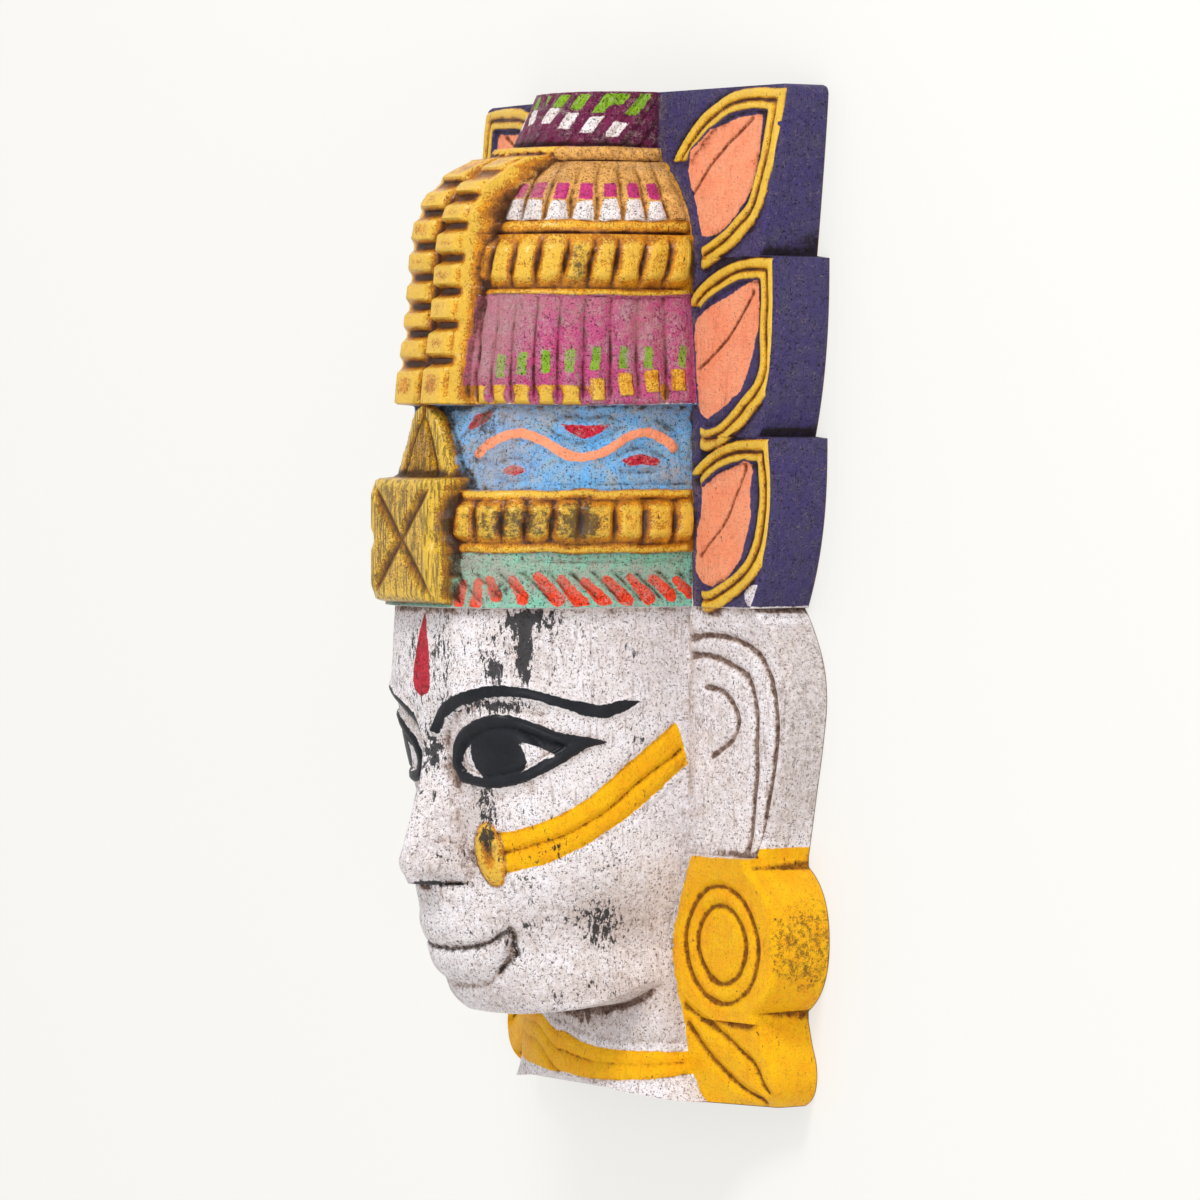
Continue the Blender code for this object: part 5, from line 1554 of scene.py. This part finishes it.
def old_gold(age, colour):
    """Amber patches, painted highlights on the ridges, brown painted shade in the cuts, and dark cracks.
    """
    fine, crackle, crust, grain = age.fine, age.crackle, age.crust, age.grain
    amber = over(age.patch + crust + grain * 0.6, -0.05, 0.12) * age.gilt
    colour = age.wash(colour, amber * 0.6, "amber")
    # painted highlights on the ridges of the gold
    painted_glint = over(fine + crackle + grain * 0.8, 0.10, 0.26) * age.gilt
    colour = age.wash(colour, painted_glint * 0.8, "painted_glint")
    # painted shade, brown, in the hollows of the gold
    shaded = over(fine * -1.0 + crust * 0.9 + grain * 0.4, 0.10, 0.42) * age.gilt
    colour = age.wash(colour, shaded * 0.7, "shaded")
    cracks = over(crust * -1.0 - grain * 0.7 - fine * 0.15, 0.05, 0.15)
    cracks = cracks * (age.gilt + age.lies("straw")).clamped()
    return age.wash(colour, cracks * 0.7, "cracks")


print("cracks in the gold as numbers:", [round(v, 3) for v in srgb(WASHES["cracks"])])

# %% Dirt and painted shade in the hollows, chisel strokes and dark marks
# in metres, on the side wall of the disc
STAIN = (0.131, -0.157, 0.011)
STAIN_CORE = 0.012
STAIN_RADIUS = 0.019


def grime_and_shade_in_hollows(age, colour):
    """Brown in the fine cuts, partly soiling and partly painted shade, and painted shade in the deepest
    corners; also says where the fine cuts are.
    """
    fine, crust, grain = age.fine, age.crust, age.grain
    broken = (crust * 2.4 + grain * 1.6 + 0.78).clamped()
    # old dirt and painted shade, faint, in the fine cuts
    faint_grime_and_shade = over(fine * -1.0 + crust * 0.7 + grain * 0.3, 0.08, 0.45)
    colour = age.wash(colour, faint_grime_and_shade * age.unpainted * 0.6, "faint_grime_and_shade", "MULTIPLY")
    # old dirt and painted shade, darker and broken up, in the fine cuts
    cut_grime_and_shade = over(fine * -1.0 + crust * 1.1 + grain * 0.6 + age.patch * 0.6, 0.28, 0.56)
    colour = age.wash(colour, cut_grime_and_shade * broken * age.unpainted * 0.9, "cut_grime_and_shade", "MULTIPLY")
    # painted shade in the deep corners of the mask
    deep_corner_shade = over(age.broad * -1.0 + crust * 8.0 + grain * 4.0, 1.6, 4.0)
    colour = age.wash(colour, deep_corner_shade * broken * (0.65 - age.gilt * 0.5), "deep_corner_shade", "MULTIPLY")
    return colour, cut_grime_and_shade


def marked(age, colour):
    """Chisel strokes, a stain, dark smears that are partly painted shade, flecks with painted shade
    under the nose, and specks; also says where the smears lie.
    """
    crust, grain = age.crust, age.grain
    strokes = over(age.chisel, -0.03, 0.09) * age.lies("olive")
    colour = age.wash(colour, strokes * 0.7, "strokes")
    apart = age.board.add("ShaderNodeVectorMath", {"operation": "DISTANCE"},
                          {0: age.place, 1: STAIN}, output=1)
    stain = over(apart * -1.0 + crust * 0.05 + grain * 0.02, -STAIN_RADIUS, -STAIN_CORE)
    colour = age.wash(colour, stain * over(crust + grain * 0.6, -0.04, 0.10) * 0.8, "stain")
    # grime, with painted shade round the crown's raised pieces and beside the ground
    dirt_and_shade = over(age.board.layer("grime") * 0.5 + crust * 1.5 + grain * 0.6, 0.28, 0.5)
    colour = age.wash(colour, dirt_and_shade * 0.84, "dirt_and_shade")
    # black flecks of flaked paint and soot, and painted shade under the nose
    flakes_and_shade = over(age.board.layer("soot") * 0.17 + age.fleck, 0.15, 0.175)
    colour = age.wash(colour, flakes_and_shade * 0.94, "flakes_and_shade")
    specks = over(crust + grain * 0.4, 0.205, 0.23)
    return age.wash(colour, specks * age.unpainted * 0.8, "specks"), dirt_and_shade


print("stain at", STAIN, "m")

# %% [markdown]
# ### The whole finish
#
# The back and the foot are bare brown wood. Paint on wood is satin: the gold bands are smoother
# than the chalky white, and the dirt and the painted shade in the hollows make both rougher. One
# bump at the scale of brush hairs and grain breaks up the light. The gold has a rougher skin, and
# gold and black have a thin glossy coat.

# %% Bare wood, roughness and bumps
def painted_wood():
    """The whole finish of the mask."""
    board = Board("painted_wood")
    pattern = patterns(board)
    age = Age(board, pattern)
    colour = old_gold(age, dust_and_shade_washes(age, painted_colours(board, pattern)))
    colour, cut_grime_and_shade = grime_and_shade_in_hollows(age, colour)
    colour, dirt_and_shade = marked(age, colour)

    axes = {k: board.add("ShaderNodeSeparateXYZ", {}, {0: pattern["place"]}, output=k) for k in (1, 2)}
    back = over(axes[2] * -1000.0, -0.5, -0.2)
    foot = over(axes[1] * -1000.0, -BOTTOM - 0.5, -BOTTOM - 0.2)
    colour = board.mix((back + foot).clamped(), colour, srgb("6E5138"))
    board.plug(board.shader.inputs["Base Color"], colour)

    rough = 0.52 - edge(board.layer("shine"), 2.0) * 0.16 + age.patch * 0.25
    rough = rough + cut_grime_and_shade * 0.2 + dirt_and_shade * 0.12
    board.plug(board.shader.inputs["Roughness"], rough)
    height = pattern["hair"] * 0.4 + pattern["crackle"] * 0.7 + pattern["grain"] * 0.25
    height = height + (pattern["chisel"] * 0.6 + pattern["crust"] * 1.1) * age.gilt
    bump = board.add("ShaderNodeBump", {}, {"Height": height, "Strength": 1.0, "Distance": 0.0018})
    board.plug(board.shader.inputs["Normal"], bump)
    board.plug(board.shader.inputs["Coat Weight"], age.gilt * 0.4 + age.lies("black") * 0.2)
    board.shader.inputs["Coat Roughness"].default_value = 0.3
    board.shader.inputs["Specular IOR Level"].default_value = 0.2
    return board.material


mask.data.materials.clear()
mask.data.materials.append(painted_wood())
print("nodes in the paint:", len(mask.data.materials[0].node_tree.nodes))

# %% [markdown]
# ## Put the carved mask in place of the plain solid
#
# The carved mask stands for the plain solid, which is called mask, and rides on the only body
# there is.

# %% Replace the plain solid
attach(mask, "root")
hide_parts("mask")
print("the carved mask stands for: mask")

# %% [markdown]
# ## The studio
#
# The photograph has a plain pale background without a visible edge and hardly any shadow. A wide
# pale floor that glows a little by itself, under a bright, even sky, gives that. The floor isn't
# part of the mask.

# %% Pale floor and even sky
FLOOR_HALF_WIDTH = 14.0
FLOOR_DROP = 0.0002
FLOOR_GLOW = 0.655
SKY_STRENGTH = 0.88


def pale_floor():
    """A wide floor that the mask lies on."""
    bm = bmesh.new()
    bmesh.ops.create_grid(bm, x_segments=1, y_segments=1, size=FLOOR_HALF_WIDTH)
    bmesh.ops.translate(bm, verts=bm.verts[:], vec=(0.0, 0.0, -FLOOR_DROP))
    mesh = bpy.data.meshes.new("pale_floor")
    bm.to_mesh(mesh)
    bm.free()
    floor = bpy.data.objects.new("pale_floor", mesh)
    bpy.context.scene.collection.objects.link(floor)
    board = Board("floor_paper")
    board.shader.inputs["Base Color"].default_value = srgb("8A8987")
    board.shader.inputs["Emission Color"].default_value = srgb("FBFAF6")
    board.shader.inputs["Emission Strength"].default_value = FLOOR_GLOW
    board.shader.inputs["Roughness"].default_value = 0.9
    board.shader.inputs["Specular IOR Level"].default_value = 0.1
    mesh.materials.append(board.material)
    return floor


pale_floor()
world = bpy.data.worlds.new("even_sky")
world.use_nodes = True
sky = world.node_tree.nodes["Background"]
sky.inputs["Color"].default_value = (1.0, 0.995, 0.985, 1.0)
sky.inputs["Strength"].default_value = SKY_STRENGTH
bpy.context.scene.world = world
bpy.context.scene.view_settings.view_transform = "Standard"
print("floor and sky are set")

# %% [markdown]
# ### Camera and lights
#
# The camera stands far off, 57 degrees round from the front and a little towards the crown, which is
# up in the frame. Its place is counted in units of which the mask is 1031 high, and its focal length
# in units of which the frame is 1200 wide. A large key light over the crown and a weaker one at the
# side give the old gold its gloss without hard shadows.

# %% Camera at the photograph's angle, and two soft lights
TURN = math.radians(57.0)
UNIT = HEIGHT / 1031.0
RANGE = 6372.59
SHIFT = -73.4
EYE_HEIGHT = 162.0
FOCAL = 6100.0
AIM_DROP = 163.0
FRAME_WIDTH = 1200.0
SENSOR_WIDTH = 36.0
PITCH = math.atan(AIM_DROP / FOCAL)
MASK_MIDDLE = (0.0, 0.0, 0.08)


def look_along(thing, place, forward):
    """Put a camera or light at a place, looking along a direction, with the crown up."""
    thing.location = place
    forward = np.array(forward) / np.linalg.norm(forward)
    right = np.cross(forward, (0.0, 1.0, 0.0))
    right = right / np.linalg.norm(right)
    up = np.cross(right, forward)
    thing.rotation_mode = "QUATERNION"
    from_axes = np.stack([right, up, -forward], axis=1)
    thing.rotation_quaternion = Matrix(from_axes.tolist()).to_quaternion()


eye = (UNIT * (RANGE * math.sin(TURN) + SHIFT * math.cos(TURN)), UNIT * EYE_HEIGHT,
       UNIT * (RANGE * math.cos(TURN) - SHIFT * math.sin(TURN)))
ahead = (-math.sin(TURN) * math.cos(PITCH), -math.sin(PITCH), -math.cos(TURN) * math.cos(PITCH))
lens = bpy.data.cameras.new("photo_camera")
lens.sensor_width = SENSOR_WIDTH
lens.lens = SENSOR_WIDTH * FOCAL / FRAME_WIDTH / math.cos(PITCH)
lens.clip_end = 60.0
camera = bpy.data.objects.new("photo_camera", lens)
bpy.context.scene.collection.objects.link(camera)
look_along(camera, eye, ahead)
bpy.context.scene.camera = camera


def soft_light(name, place, size, power):
    """A large square lamp that looks at the mask."""
    lamp = bpy.data.lights.new(name, "AREA")
    lamp.shape = "SQUARE"
    lamp.size = size
    lamp.energy = power
    light = bpy.data.objects.new(name, lamp)
    light.visible_camera = False
    bpy.context.scene.collection.objects.link(light)
    look_along(light, place, [m - p for m, p in zip(MASK_MIDDLE, place)])


soft_light("key_light", (0.9, 2.1, 1.7), 0.7, 50.0)
soft_light("fill_light", (2.4, -0.6, 1.2), 1.0, 17.0)
print("camera at", [round(v, 3) for v in eye], "lens", round(lens.lens, 1), "mm")
